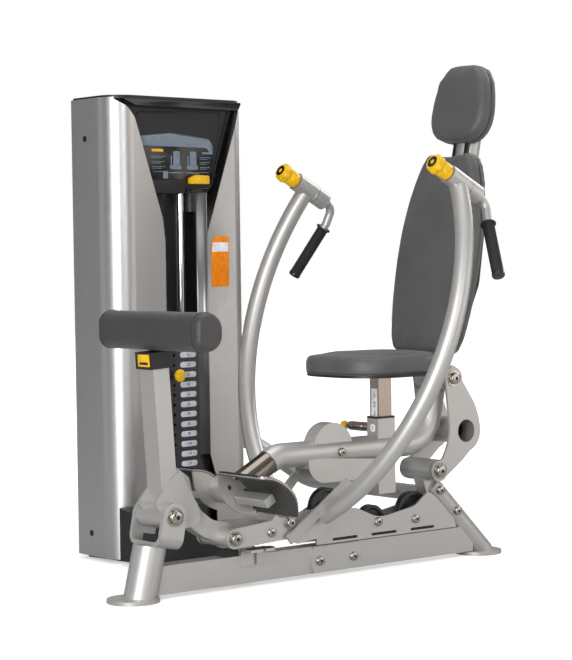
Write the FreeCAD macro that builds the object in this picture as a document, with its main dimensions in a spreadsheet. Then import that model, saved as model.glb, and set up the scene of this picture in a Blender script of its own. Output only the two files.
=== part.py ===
import FreeCAD, Part
import math
import os

# Chest press machine: a floor frame with a weight tower on its left, a seat
# carriage hung between a front arm and rear links, and a pair of press arms.
# Millimetres. +X is the machine's right-hand side as the drawing is read, with
# the weight tower towards -X; +Y is the rear; +Z is up. The user faces -Y.
# The lay-out below is written about the centre of the front foot; the two
# "frame_shift" cells move every piece so that the origin is the middle of
# the whole machine on the floor.

V = FreeCAD.Vector
doc = FreeCAD.newDocument("ChestPressMachine")
sheet = doc.addObject("Spreadsheet::Sheet", "Dims")

CELLS = [
    # frame position
    ("frame_shift_x", 180.45), ("frame_shift_y", -625.0), ("frame_shift_z", 0.0),
    # floor frame
    ("foot_radius", 70.0), ("foot_height", 10.0), ("foot_hole_radius", 7.0),
    ("rear_foot_y", 1250.0),
    ("post_radius", 44.45), ("post_wall", 4.0), ("post_top", 150.0),
    ("rail_width", 50.8), ("rail_height", 76.2), ("rail_wall", 3.2),
    ("rail_bottom", 11.8), ("rail_front", 45.0), ("rail_joint", 672.0),
    ("rail_rear", 1205.0),
    ("splice_thick", 6.4), ("splice_front", 587.0), ("splice_length", 172.0),
    ("guard_inner", 29.0), ("guard_thick", 6.0),
    ("rear_post_radius", 33.0),
    ("hub_e_radius", 32.0), ("hub_e_half", 59.0),
    # front pivot
    ("yoke_inner", 58.5), ("yoke_thick", 12.0), ("yoke_half_width", 37.0),
    ("yoke_drop", 84.0), ("pivot_a_y", 88.0), ("pivot_a_z", 220.0),
    ("pin_radius", 12.45), ("pin_bore", 12.5),
    # front arm
    ("hub_a_radius", 35.0), ("hub_a_half", 57.5),
    ("upright_x", 63.5), ("upright_y", 50.8),
    ("gusset_inner", 32.0), ("gusset_thick", 8.0), ("lower_arm_half", 22.0),
    ("hub_b_radius", 25.0), ("hub_b_half", 56.0),
    ("pivot_b_y", 285.0), ("pivot_b_z", 143.0),
    ("collar_x", 76.0), ("collar_y", 62.0), ("collar_height", 44.0),
    ("front_pad_half", 230.0), ("front_pad_height", 104.0),
    # press arms
    ("crank_inner", 59.5), ("crank_thick", 10.0),
    ("arm_radius", 25.4), ("arm_wall", 3.0),
    ("arm_arc", 675.0), ("arm_centre_x", -244.0), ("arm_centre_y", 760.0),
    ("arm_centre_z", 740.0), ("arm_lean", 18.0),
    ("sleeve_radius", 27.0), ("sleeve_bore", 17.0),
    ("handle_tube", 12.7), ("grip_radius", 17.0), ("grip_length", 172.0),
    ("knob_radius", 29.5), ("knob_length", 64.0),
    ("arm_pulley_radius", 55.0),
    # carriage
    ("hub_c_radius", 37.0), ("hub_c_half", 52.0),
    ("chrome_radius", 33.0), ("main_radius", 35.0), ("main_wall", 3.5),
    ("hub_d_radius", 38.0), ("hub_d_half", 58.0),
    ("dome_radius", 70.0), ("dome_half", 24.0),
    ("tread_inner", 52.0), ("tread_outer", 250.0),
    ("tread_y", 238.0), ("tread_z", 188.0), ("tread_radius", 140.0),
    ("tread_rubber", 4.5), ("tread_plate", 5.0),
    ("seat_sleeve_half", 24.0),
    ("seat_post_x", 38.0), ("seat_post_y", 49.0),
    ("seat_width", 352.0), ("seat_length", 322.0), ("seat_y", 664.0),
    ("seat_pan_z", 553.0), ("seat_pan_thick", 8.0), ("seat_pad_thick", 58.5),
    ("recline", 12.1), ("back_pad_thick", 57.0), ("head_pad_thick", 62.0),
    # rear links
    ("link_inner", 62.0), ("link_thick", 8.0),
    ("pivot_d_y", 1092.0), ("pivot_d_z", 532.0),
    ("pivot_e_y", 1033.0), ("pivot_e_z", 267.0),
    # weight tower
    ("tower_x", -545.0), ("tower_y", 401.0), ("tower_turn", 6.5),
    ("tower_bottom", 12.0), ("tower_top", 1362.0), ("shroud_thick", 3.0),
    ("rod_radius", 12.7), ("rod_half_gap", 80.0), ("stack_centre", 170.0),
    ("stack_depth", 73.0),
    ("plate_width", 280.0), ("plate_depth", 102.0), ("plate_thick", 29.0),
    ("plate_pitch", 29.8), ("plate_low", 49.2),
]
for number, (alias, value) in enumerate(CELLS, start=1):
    sheet.set("A%d" % number, alias)
    sheet.set("B%d" % number, str(value))
    sheet.setAlias("B%d" % number, alias)
doc.recompute()
D = {alias: float(sheet.get(alias)) for alias, _ in CELLS}


# ------------------------------------------------------------ small helpers

def bind(obj, prop, value):
    """A text value is an expression on the sheet; a number is set directly."""
    if isinstance(value, str):
        obj.setExpression(prop, value)
    else:
        target, _, leaf = prop.rpartition(".")
        if target:
            obj.setExpression(prop, str(float(value)))
        else:
            setattr(obj, leaf, value)


def box(name, size, at):
    """A rectangular block; size and corner are numbers or sheet expressions."""
    obj = doc.addObject("Part::Box", name)
    for prop, value in zip(("Length", "Width", "Height"), size):
        bind(obj, prop, value)
    for axis, value in zip("xyz", at):
        bind(obj, "Placement.Base." + axis, value)
    return obj


def rod(name, radius, start, end):
    """A round bar between two points."""
    start, end = V(*start), V(*end)
    obj = doc.addObject("Part::Cylinder", name)
    bind(obj, "Radius", radius)
    obj.Height = (end - start).Length
    turn = FreeCAD.Rotation(V(0, 0, 1), end - start)
    obj.Placement = FreeCAD.Placement(start, turn)
    return obj


def cross_rod(name, radius, half, y, z):
    """A round bar along X, centred on the machine's middle plane."""
    obj = doc.addObject("Part::Cylinder", name)
    bind(obj, "Radius", radius)
    obj.Placement = FreeCAD.Placement(V(0, 0, 0), FreeCAD.Rotation(V(0, 1, 0), 90))
    if isinstance(half, str):
        obj.setExpression("Height", "2 * (%s)" % half)
        obj.setExpression("Placement.Base.x", "-(%s)" % half)
    else:
        obj.Height = 2.0 * half
        bind(obj, "Placement.Base.x", -half)
    bind(obj, "Placement.Base.y", y)
    bind(obj, "Placement.Base.z", z)
    return obj


def rounded(points):
    """Lines and tangent arcs of a closed outline of (u, v, corner radius)."""
    count = len(points)
    corners = []
    for i, item in enumerate(points):
        here = V(item[0], item[1], 0)
        radius = item[2] if len(item) > 2 else 0.0
        before = V(points[i - 1][0], points[i - 1][1], 0)
        after = V(points[(i + 1) % count][0], points[(i + 1) % count][1], 0)
        a = (before - here).normalize()
        b = (after - here).normalize()
        angle = a.getAngle(b)
        if radius <= 0 or abs(angle - math.pi) < 1e-4:
            corners.append((here, None, here))
            continue
        reach = radius / math.tan(angle / 2.0)
        middle = here + (a + b).normalize() * (radius / math.sin(angle / 2.0))
        mid = middle + (here - middle).normalize() * radius
        corners.append((here + a * reach, mid, here + b * reach))
    edges = []
    for i in range(count):
        first, mid, last = corners[i]
        if mid is not None:
            edges.append(Part.Arc(first, mid, last))
        nxt = corners[(i + 1) % count][0]
        if (nxt - last).Length > 1e-6:
            edges.append(Part.LineSegment(last, nxt))
    return edges


def flat_arc(edge):
    """A sketch arc, always drawn the anticlockwise way, from a three-point arc."""
    centre, radius = edge.Curve.Center, edge.Curve.Radius
    first = edge.valueAt(edge.FirstParameter) - centre
    last = edge.valueAt(edge.LastParameter) - centre
    a0, a1 = math.atan2(first.y, first.x), math.atan2(last.y, last.x)
    if edge.Curve.Axis.z < 0:
        a0, a1 = a1, a0
    if a1 <= a0:
        a1 += 2.0 * math.pi
    return Part.ArcOfCircle(Part.Circle(centre, V(0, 0, 1), radius), a0, a1)


def circle(u, v, radius):
    """A round hole in a sketch."""
    return [Part.Circle(V(u, v, 0), V(0, 0, 1), radius)]


PLANES = {"XY": "XY_Plane", "XZ": "XZ_Plane", "YZ": "YZ_Plane"}


def prism(name, plane, outlines, start, length):
    """A PartDesign body: one sketch of closed outlines, padded by length."""
    body = doc.addObject("PartDesign::Body", name)
    origin = [f for f in body.Origin.OriginFeatures if f.Role == PLANES[plane]][0]
    sketch = body.newObject("Sketcher::SketchObject", name + "_sketch")
    sketch.AttachmentSupport = [(origin, "")]
    sketch.MapMode = "FlatFace"
    bind(sketch, "AttachmentOffset.Base.z", start)
    for outline in outlines:
        for geometry in outline:
            if isinstance(geometry, Part.Arc):
                geometry = flat_arc(geometry.toShape())
            sketch.addGeometry(geometry, False)
    pad = body.newObject("PartDesign::Pad", name + "_pad")
    pad.Profile = sketch
    bind(pad, "Length", length)
    body.Tip = pad
    return body


def side_plate(name, outlines, inner, thick):
    """A flat plate in the YZ plane on the +X side, from inner to inner+thick."""
    return prism(name, "YZ", outlines, inner, thick)


def mirror(name, source):
    obj = doc.addObject("Part::Mirroring", name)
    obj.Source = source
    obj.Base = V(0, 0, 0)
    obj.Normal = V(1, 0, 0)
    return obj


def cut(name, base, tool):
    obj = doc.addObject("Part::Cut", name)
    obj.Base = base
    obj.Tool = tool
    return obj


def common(name, *shapes):
    obj = doc.addObject("Part::MultiCommon", name)
    obj.Shapes = list(shapes)
    return obj


def fuse(name, *shapes):
    obj = doc.addObject("Part::MultiFuse", name)
    obj.Shapes = list(shapes)
    obj.Refine = False
    return obj


def group(name, *shapes):
    obj = doc.addObject("Part::Compound", name)
    obj.Links = list(shapes)
    return obj


def path_wire(points):
    """Straight runs joined by tangent arcs: points are (x, y, z, radius)."""
    edges = []
    last = V(*points[0][:3])
    for i in range(1, len(points) - 1):
        here = V(*points[i][:3])
        a = (V(*points[i - 1][:3]) - here).normalize()
        b = (V(*points[i + 1][:3]) - here).normalize()
        angle = a.getAngle(b)
        radius = points[i][3]
        reach = radius / math.tan(angle / 2.0)
        middle = here + (a + b).normalize() * (radius / math.sin(angle / 2.0))
        mid = middle + (here - middle).normalize() * radius
        first = here + a * reach
        if (first - last).Length > 1e-6:
            edges.append(Part.LineSegment(last, first).toShape())
        edges.append(Part.Arc(first, mid, here + b * reach).toShape())
        last = here + b * reach
    edges.append(Part.LineSegment(last, V(*points[-1][:3])).toShape())
    return Part.Wire(edges)


def pipe_shape(wire, radius):
    """A solid round bar swept along a tangent path."""
    start = wire.Edges[0]
    origin = start.valueAt(start.FirstParameter)
    tangent = start.tangentAt(start.FirstParameter)
    profile = Part.Wire([Part.Circle(origin, tangent, radius).toShape()])
    solid = wire.makePipeShell([profile], True, False)
    if solid.Volume < 0:
        solid = solid.reversed()
    return solid


def tube(name, wire, outer, wall):
    """A bent round tube, open at both ends; wall 0 makes a solid bar."""
    shape = pipe_shape(wire, outer)
    if wall > 0:
        shape = shape.cut(pipe_shape(wire, outer - wall))
    obj = doc.addObject("Part::Feature", name)
    obj.Shape = shape
    return obj


NODES = []


def node(label, *shapes, place="frame", base=(0.0, 0.0, 0.0), axis=None, angle=0.0):
    """The named piece: its solids, moved together into the machine's frame."""
    obj = doc.addObject("Part::Compound", label)
    obj.Label = label
    obj.Links = list(shapes)
    if place == "tower":
        obj.Placement = FreeCAD.Placement(V(0, 0, 0), FreeCAD.Rotation(V(0, 0, 1), 1))
        obj.setExpression("Placement.Rotation.Angle", "Dims.tower_turn")
        obj.setExpression("Placement.Base.x", "Dims.tower_x + Dims.frame_shift_x")
        obj.setExpression("Placement.Base.y", "Dims.tower_y + Dims.frame_shift_y")
        obj.setExpression("Placement.Base.z", "Dims.frame_shift_z")
    else:
        if axis is not None:
            obj.Placement = FreeCAD.Placement(V(0, 0, 0), FreeCAD.Rotation(V(*axis), angle))
        for letter, value in zip("xyz", base):
            obj.setExpression("Placement.Base." + letter,
                              "(%s) + Dims.frame_shift_%s" % (value, letter))
    NODES.append(obj)
    return obj


def button_bolt(name, at, side, radius=11.0, head=6.0):
    """A button-head screw on the outside of a plate; side is +1 or -1 in X."""
    x, y, z = at
    return rod(name, radius, (side * x, y, z), (side * (x + head), y, z))


# ------------------------------------------------------------- floor frame

feet = []
for index, (foot_y, hole_y) in enumerate(((0.0, -38.0), (D["rear_foot_y"], D["rear_foot_y"] + 38.0))):
    disc = rod("foot_disc_%d" % index, "Dims.foot_radius", (0, foot_y, 0), (0, foot_y, 10))
    disc.setExpression("Height", "Dims.foot_height")
    hole = rod("foot_hole_%d" % index, "Dims.foot_hole_radius", (0, hole_y, -1), (0, hole_y, 12))
    feet.append(cut("foot_%d" % index, disc, hole))
node("base_feet", *feet)

POST_DIR = V(0, 31.0, 125.0).normalize()
post_low = V(0, 22.0, 7.0) - POST_DIR * 30
post_high = V(0, 22.0, 7.0) + POST_DIR * 190


def post_bar(name, radius):
    return rod(name, radius, tuple(post_low), tuple(post_high))


LEAN = -11.0


def yoke_solid(prefix):
    """The U of thick plate about pivot A, standing in its own upright frame."""
    inner, outer = D["yoke_inner"], D["yoke_inner"] + D["yoke_thick"]
    drop = D["yoke_drop"]
    profile = rounded([(-outer, 60, 0), (-outer, -drop, 30), (outer, -drop, 30), (outer, 60, 0),
                       (inner, 60, 0), (inner, -drop + D["yoke_thick"], 18),
                       (-inner, -drop + D["yoke_thick"], 18), (-inner, 60, 0)])
    folded = prism(prefix + "_fold", "XZ", [profile], -60.0, 120.0)
    half = D["yoke_half_width"]
    side = rounded([(-half, -drop - 10, 0), (half, -drop - 10, 0), (half, half, half - 0.01),
                    (-half, half, half - 0.01)])
    ears = prism(prefix + "_ears", "YZ", [side], -80.0, 160.0)
    trimmed = common(prefix + "_trim", folded, ears)
    bore = cross_rod(prefix + "_bore", "Dims.pin_bore", 90.0, 0.0, 0.0)
    return cut(prefix + "_u", trimmed, bore)


yoke = node("yoke", yoke_solid("yoke"), base=(0.0, "Dims.pivot_a_y", "Dims.pivot_a_z"),
            axis=(1, 0, 0), angle=LEAN)

post_tube = cut("post_tube", post_bar("post_outer", "Dims.post_radius"),
                post_bar("post_inner", "Dims.post_radius - Dims.post_wall"))
post_slab = box("post_slab", (200, 260, "Dims.post_top - Dims.foot_height"),
                (-100, -90, "Dims.foot_height"))
post_cut = common("post_cut", post_tube, post_slab)
yoke_block = box("yoke_block", (200, 120, 160), (-100, -60, "-Dims.yoke_drop"))
yoke_space = group("yoke_space", yoke_block)
yoke_space.Placement = FreeCAD.Placement(V(0, D["pivot_a_y"], D["pivot_a_z"]),
                                         FreeCAD.Rotation(V(1, 0, 0), LEAN))
node("front_post", cut("post_body", post_cut, yoke_space))

# the two lengths of base rail, each a rectangular tube
RAIL_X = "-Dims.rail_width / 2"


def rail(prefix, y0, y1):
    outer = box(prefix + "_outer", ("Dims.rail_width", "(%s) - (%s)" % (y1, y0), "Dims.rail_height"),
                (RAIL_X, y0, "Dims.rail_bottom"))
    inner = box(prefix + "_inner",
                ("Dims.rail_width - 2 * Dims.rail_wall", "(%s) - (%s)" % (y1, y0),
                 "Dims.rail_height - 2 * Dims.rail_wall"),
                (RAIL_X + " + Dims.rail_wall", y0, "Dims.rail_bottom + Dims.rail_wall"))
    return cut(prefix + "_tube", outer, inner)


front_rail = cut("front_rail", rail("front_rail_raw", "Dims.rail_front", "Dims.rail_joint"),
                 post_bar("post_for_rail", "Dims.post_radius"))
REAR_POST = ((0, 1268.0, 4.0), (0, 1050.0, 222.0))
rear_rail = cut("rear_rail", rail("rear_rail_raw", "Dims.rail_joint", "Dims.rail_rear"),
                rod("rear_post_for_rail", "Dims.rear_post_radius", *REAR_POST))
node("base_rails", front_rail, rear_rail)

# splice plates with a hollowed front edge, and the tabs that the cranks rest on
R0 = D["rail_width"] / 2.0
splice_outline = [Part.LineSegment(V(587, 13, 0), V(759, 13, 0)),
                  Part.LineSegment(V(759, 13, 0), V(759, 87, 0)),
                  Part.LineSegment(V(759, 87, 0), V(587, 87, 0)),
                  Part.Arc(V(587, 87, 0), V(579, 50, 0), V(587, 13, 0))]
splice = side_plate("splice_right", [splice_outline], "Dims.rail_width / 2", "Dims.splice_thick")
tabs = []
for index, (y0, width) in enumerate(((332.0, 43.0), (385.0, 30.0))):
    for side in (1, -1):
        x_low = R0 if side > 0 else -R0 - 50.0
        flat = box("tab_flat_%d%d" % (index, side), (50, width, 8), (x_low, y0, 100))
        leg_x = R0 if side > 0 else -R0 - 8.0
        leg = box("tab_leg_%d%d" % (index, side), (8, width, 40), (leg_x, y0, 60))
        tabs.append(fuse("tab_%d%d" % (index, side), flat, leg))
node("rail_brackets", splice, mirror("splice_left", splice), *tabs)

# guard plates on both sides of the base pulleys
guard = rounded([(595, 92, 4), (1130, 92, 4), (1118, 120, 10), (1046, 190, 14), (1020, 206, 14),
                 (965, 168, 60), (829, 146, 120), (745, 182, 30), (716, 184, 14), (640, 160, 40),
                 (595, 150, 12)])


def slot(y0, y1, z, half):
    return rounded([(y0 - half, z - half, half - 0.01), (y1 + half, z - half, half - 0.01),
                    (y1 + half, z + half, half - 0.01), (y0 - half, z + half, half - 0.01)])


guard_holes = [slot(657, 742, 102, 4), slot(802, 890, 102, 4), slot(952, 1038, 102, 4)]
guard_right = side_plate("guard_right", [guard] + guard_holes, "Dims.guard_inner",
                         "Dims.guard_thick")
node("pulley_side_plates", guard_right, mirror("guard_left", guard_right))

# rear post at 45 degrees with the pivot hub welded to its top
rear_outer = rod("rear_post_bar", "Dims.rear_post_radius", *REAR_POST)
rear_slab = box("rear_slab", (120, 400, 500), (-60, 900, "Dims.foot_height"))
rear_bar = common("rear_post_trim", rear_outer, rear_slab)
hub_e = cross_rod("hub_e_bar", "Dims.hub_e_radius", "Dims.hub_e_half", "Dims.pivot_e_y",
                  "Dims.pivot_e_z")
hub_web = prism("hub_e_web", "YZ", [rounded([(1008, 250, 0), (1030, 190, 0), (1076, 196, 0),
                                             (1080, 262, 0)])], -20.0, 40.0)
rear_mass = fuse("rear_mass", rear_bar, hub_e, hub_web)
rear_bore = cross_rod("hub_e_bore", "Dims.pin_bore", 90.0, "Dims.pivot_e_y", "Dims.pivot_e_z")
node("rear_post", cut("rear_post_body", rear_mass, rear_bore))

# low cover from the rail to the tower, with the belt run inside it
cover_shape = rounded([(-27.0, 14, 0), (-540.0, 14, 0), (-540.0, 168, 0), (-420.0, 150, 40),
                       (-215.0, 134, 40), (-100.0, 106, 30), (-27.0, 98, 0)])
cover_inner = rounded([(-27.0, 18, 0), (-540.0, 18, 0), (-540.0, 164, 0), (-420.0, 146, 40),
                       (-215.0, 130, 40), (-100.0, 102, 30), (-27.0, 94, 0)])
cover_solid = prism("cover_solid", "XZ", [cover_shape], -430.0, 100.0)
cover_space = prism("cover_space", "XZ", [cover_inner], -426.0, 92.0)
cover_notches = []
for index, (y0, width) in enumerate(((332.0, 43.0), (385.0, 30.0))):
    cover_notches.append(box("cover_notch_%d" % index, (52, width + 1, 9), (-75.5, y0 - 0.5, 99.5)))
    cover_notches.append(box("cover_slot_%d" % index, (12, width + 1, 49), (-33.5, y0 - 0.5, 59.5)))
node("cross_cover", cut("cover_shell", cover_solid, fuse("cover_tools", cover_space,
                                                         *cover_notches)))

# brace from the rear post round to the back of the tower
BRACE = path_wire([(-35.0, 1058.0, 190.0), (-560.0, 1058.0, 190.0, 120.0),
                   (-736.0, 985.0, 300.0, 60.0), (-725.0, 824.0, 337.4)])
shroud_side = group("shroud_side", box("shroud_side_box", (260, 200.3, 200), (0, -200, 250)))
shroud_side.Placement = FreeCAD.Placement(V(-817.03, 809.83, 0),
                                          FreeCAD.Rotation(V(0, 0, 1), 14.63))
node("brace_tube", cut("brace_body", tube("brace_bar", BRACE, 24.15, 3.0), shroud_side))

# ------------------------------------------------------------ weight tower
# local axes: x is out of the stack's face, y runs along it, depth is -x


def ribbon(path, thick):
    """Closed outline of a bent sheet of even thickness along (u, v, radius)."""
    pts = [V(p[0], p[1], 0) for p in path]
    radii = [p[2] if len(p) > 2 else 0.0 for p in path]
    normals = []
    for a, b in zip(pts[:-1], pts[1:]):
        run = (b - a).normalize()
        normals.append(V(-run.y, run.x, 0) * thick)
    inner = [pts[0] + normals[0]]
    for i in range(1, len(pts) - 1):
        a0, a1 = pts[i - 1] + normals[i - 1], pts[i] + normals[i - 1]
        b0, b1 = pts[i] + normals[i], pts[i + 1] + normals[i]
        da, db = a1 - a0, b1 - b0
        scale = ((b0.x - a0.x) * db.y - (b0.y - a0.y) * db.x) / (da.x * db.y - da.y * db.x)
        inner.append(a0 + da * scale)
    inner.append(pts[-1] + normals[-1])
    outline = [(p.x, p.y, r) for p, r in zip(pts, radii)]
    turn = []
    for i, p in enumerate(inner):
        radius = radii[i]
        if radius > 0:
            before, after = pts[i] - pts[i - 1], pts[i + 1] - pts[i]
            left = before.x * after.y - before.y * after.x > 0
            radius = radius - thick if left else radius + thick
        turn.append((p.x, p.y, radius))
    return rounded(outline + turn[::-1])


TOWER_H = "Dims.tower_top - Dims.tower_bottom"
left_path = [(-3, 180), (0, -76, 70), (-224, -43)]
right_path = [(-224, 437), (0, 470, 50), (-3, 250)]
left_path = [(0.0, 200.0), (0.0, -76.0, 70.0), (-224.0, -43.0)]
right_path = [(-224.0, 437.0), (0.0, 469.0, 50.0), (0.0, 214.0)]
left_sheet = prism("left_sheet", "XY", [ribbon(left_path[::-1], D["shroud_thick"])],
                   "Dims.tower_bottom", TOWER_H)
right_sheet = prism("right_sheet", "XY", [ribbon(right_path[::-1], D["shroud_thick"])],
                    "Dims.tower_bottom", TOWER_H)
# window between the shrouds; it is drawn on the local YZ plane
window = rounded([(-66, 1400, 0), (-60, 1362, 0), (-15, 1334, 30), (11, 1303, 30), (114, 1010, 60),
                  (123, 940, 0), (123, 0, 0), (318, 0, 0), (318, 224, 40), (294, 293, 40),
                  (294, 960, 60), (440, 1350, 0), (458, 1400, 0)])
window_left = prism("window_left", "YZ", [window], -26.0, 60.0)
window_right = prism("window_right", "YZ", [window], -26.0, 60.0)
node("left_shroud", cut("left_shroud_cut", left_sheet, window_left), place="tower")
node("right_shroud", cut("right_shroud_cut", right_sheet, window_right), place="tower")

back_sheet = box("back_sheet", (2, 474, TOWER_H), (-221, -40, "Dims.tower_bottom"))
node("back_panel", back_sheet, place="tower")

base_box = box("tower_foot", (190, 440, 28), (-212, -16, 0))
base_left = box("tower_post_left", (40, 30, "Dims.tower_top - 40"), (-205, -20, 28))
base_right = box("tower_post_right", (40, 30, "Dims.tower_top - 40"), (-205, 384, 28))
base_head = box("tower_crossbar", (80, 374, 30), (-120, 10, 1310))
base_left_arm = box("tower_arm_left", (125, 30, 30), (-165, -20, 1310))
base_right_arm = box("tower_arm_right", (125, 30, 30), (-165, 384, 1310))
hanger_a = box("hanger_a", (40, 6, 120), (-150, 149, 1195))
hanger_b = box("hanger_b", (40, 6, 120), (-150, 185, 1195))
hanger_pin = rod("hanger_pin", 8.0, (-130, 149, 1222), (-130, 191, 1222))
hanger_beam = box("hanger_beam", (50, 42, 12), (-160, 149, 1311))
node("tower_frame", fuse("tower_frame_body", base_box, base_left, base_right, base_head,
                         base_left_arm, base_right_arm, hanger_a, hanger_b, hanger_pin,
                         hanger_beam), place="tower")

hood_outer = [(-222, -40), (0, -73, 68), (0, 466, 48), (-222, 434)]
hood_lid = prism("hood_lid", "XY", [rounded([(-218.7, -39, 0), (-4, -71, 66), (-4, 465, 46),
                                             (-218.7, 433, 0)])], 1358.0, 10.0)
hood_face_shape = rounded([(-45, 1359, 0), (-10, 1326, 26), (18, 1296, 26), (86, 1096, 10),
                           (336, 1096, 10), (430, 1340, 10), (432, 1359, 0)])
hood_face = prism("hood_face", "YZ", [hood_face_shape], -34.0, 6.0)
node("top_hood", fuse("hood_body", hood_lid, hood_face), place="tower")

rods = []
for index, side in enumerate((-1, 1)):
    bar = rod("guide_rod_%d" % index, "Dims.rod_radius", (0, 0, 28), (0, 0, 1310))
    bar.setExpression("Placement.Base.x", "-Dims.stack_depth")
    bar.setExpression("Placement.Base.y", "Dims.stack_centre + %d * Dims.rod_half_gap" % side)
    rods.append(bar)
node("guide_rods", *rods, place="tower")

PLATE_COUNT, LIFTED = 19, 3


def plate_set(prefix, first, last):
    """Weight plates first..last counted from the bottom, bored for rods and stem."""
    solids = []
    for k in range(first, last):
        slab = box("%s_slab_%d" % (prefix, k),
                   ("Dims.plate_depth", "Dims.plate_width", "Dims.plate_thick"),
                   ("-Dims.stack_depth - Dims.plate_depth / 2",
                    "Dims.stack_centre - Dims.plate_width / 2",
                    "Dims.plate_low + %d * Dims.plate_pitch" % k))
        holes = []
        for index, (shift, radius) in enumerate(((-1, 13.6), (0, 13.0), (1, 13.6))):
            hole = rod("%s_hole_%d_%d" % (prefix, k, index), radius, (0, 0, 0), (0, 0, 60))
            hole.setExpression("Placement.Base.x", "-Dims.stack_depth")
            hole.setExpression("Placement.Base.y",
                               "Dims.stack_centre + %d * Dims.rod_half_gap" % shift)
            hole.setExpression("Placement.Base.z",
                               "Dims.plate_low + %d * Dims.plate_pitch - 15" % k)
            holes.append(hole)
        pin_hole = rod("%s_pin_%d" % (prefix, k), 5.2, (-73, 0, 0), (40, 0, 0))
        pin_hole.setExpression("Placement.Base.y", "Dims.stack_centre")
        pin_hole.setExpression("Placement.Base.z",
                               "Dims.plate_low + %d * Dims.plate_pitch + Dims.plate_thick / 2" % k)
        tools = fuse("%s_tools_%d" % (prefix, k), pin_hole, *holes)
        solids.append(cut("%s_plate_%d" % (prefix, k), slab, tools))
    return solids


node("lower_weight_plates", *plate_set("low", 0, PLATE_COUNT - LIFTED), place="tower")
node("lifted_weight_plates", *plate_set("top", PLATE_COUNT - LIFTED, PLATE_COUNT), place="tower")

STACK_TOP = D["plate_low"] + PLATE_COUNT * D["plate_pitch"]
stem_bar = rod("stem_bar", 12.4, (-73, 170, 60), (-73, 170, STACK_TOP + 40))
stem_holes = []
for k in range(PLATE_COUNT):
    z = D["plate_low"] + k * D["plate_pitch"] + D["plate_thick"] / 2
    if z > 60:
        stem_holes.append(rod("stem_hole_%d" % k, 5.2, (-90, 170, z), (-50, 170, z)))
stem_cut = cut("stem_cut", stem_bar, fuse("stem_drill", *stem_holes))
stem_head = box("stem_head", (60, 200, 30), (-103, 70, STACK_TOP + 0.4))
head_holes = [rod("head_hole_%d" % i, 13.6, (-73, y, 500), (-73, y, 760))
              for i, y in enumerate((90, 250))]
head_cut = cut("head_cut", stem_head, fuse("head_drill", *head_holes))
node("selector_stem", fuse("stem_body", stem_cut, head_cut), place="tower")

PIN_Z = D["plate_low"] + (PLATE_COUNT - LIFTED) * D["plate_pitch"] + D["plate_thick"] / 2
pin_bar = rod("pin_bar", 5.1, (-84.5, 170, PIN_Z), (-14, 170, PIN_Z))
pin_ball = rod("pin_ball", 19.0, (-16, 170, PIN_Z), (10, 170, PIN_Z))
node("selector_pin", fuse("pin_body", pin_bar, pin_ball), place="tower")

belt_strip = box("belt_strip", (5, 26, "1252 - %f" % (STACK_TOP + 42)),
                 (-75.5, 157, STACK_TOP + 42))
node("lifting_belt", belt_strip, place="tower")
wheel = rod("top_wheel", 52.0, (-130, 157, 1222), (-130, 183, 1222))
wheel_bore = rod("top_wheel_bore", 8.05, (-130, 150, 1222), (-130, 190, 1222))
node("top_pulley", cut("top_wheel_cut", wheel, wheel_bore), place="tower")

extra = box("extra_block", (46, 60, 78), (-80, 264, 1030))
extra_neck = box("extra_neck", (12, 18, 210), (-60, 290, 1100))
node("add_weight", fuse("extra_body", extra, extra_neck), place="tower")

# ------------------------------------------------ front arm and its cushion

PA_Y, PA_Z = D["pivot_a_y"], D["pivot_a_z"]
hub_a = cross_rod("hub_a_bar", "Dims.hub_a_radius", "Dims.hub_a_half", "Dims.pivot_a_y",
                  "Dims.pivot_a_z")
bore_a = cross_rod("hub_a_bore", "Dims.pin_bore", 90.0, "Dims.pivot_a_y", "Dims.pivot_a_z")
node("front_arm_hub", cut("hub_a_ring", hub_a, bore_a))

UP_TILT = math.degrees(math.atan2(22.0, 340.0))
up_block = box("up_block", ("Dims.upright_x", "Dims.upright_y", 392),
               ("-Dims.upright_x / 2", "-Dims.upright_y / 2", 0))
up_space = box("up_space", ("Dims.upright_x - 6", "Dims.upright_y - 6", 392),
               ("-Dims.upright_x / 2 + 3", "-Dims.upright_y / 2 + 3", 0))
up_tube = cut("up_tube", up_block, up_space)
up_turned = group("up_turned", up_tube)
up_turned.Placement = FreeCAD.Placement(V(0, 103.4, 220.0), FreeCAD.Rotation(V(1, 0, 0), UP_TILT))
up_clear = cross_rod("up_clear", "Dims.hub_a_radius + 0.1", 60.0, "Dims.pivot_a_y",
                     "Dims.pivot_a_z")
up_floor = box("up_floor", (100, 120, 60), (-50, 40, 180))
node("front_upright", cut("up_body", cut("up_saddle", up_turned, up_clear), up_floor))

gusset_shape = rounded([(132, 334, 10), (100, 316, 6), (50, 262, 8), (50, 244, 4),
                        (88, 220, 0), (112, 184, 0), (198, 184, 24), (186, 236, 20)])
gusset_flat = side_plate("gusset_flat", [gusset_shape], "Dims.gusset_inner",
                         "Dims.gusset_thick")
gusset = cut("gusset_right", gusset_flat,
             cross_rod("gusset_clear", "Dims.hub_a_radius + 0.1", 60.0, "Dims.pivot_a_y",
                       "Dims.pivot_a_z"))
arm_shape = rounded([(126, 345, 6), (170, 315, 20), (182, 265, 60), (208, 222, 60), (247, 193, 60),
                     (300, 181, 0), (309, 150, 0), (285, 122, 0), (265, 133, 30), (218, 150, 60),
                     (184, 172, 40), (150, 205, 60), (128, 250, 40)])
arm_plate = prism("lower_arm_plate", "YZ", [arm_shape], "-Dims.lower_arm_half",
                  "2 * Dims.lower_arm_half")
arm_hub = cross_rod("hub_b_bar", "Dims.hub_b_radius", "Dims.hub_b_half", "Dims.pivot_b_y",
                    "Dims.pivot_b_z")
arm_mass = fuse("lower_arm_mass", arm_plate, arm_hub)
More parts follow.
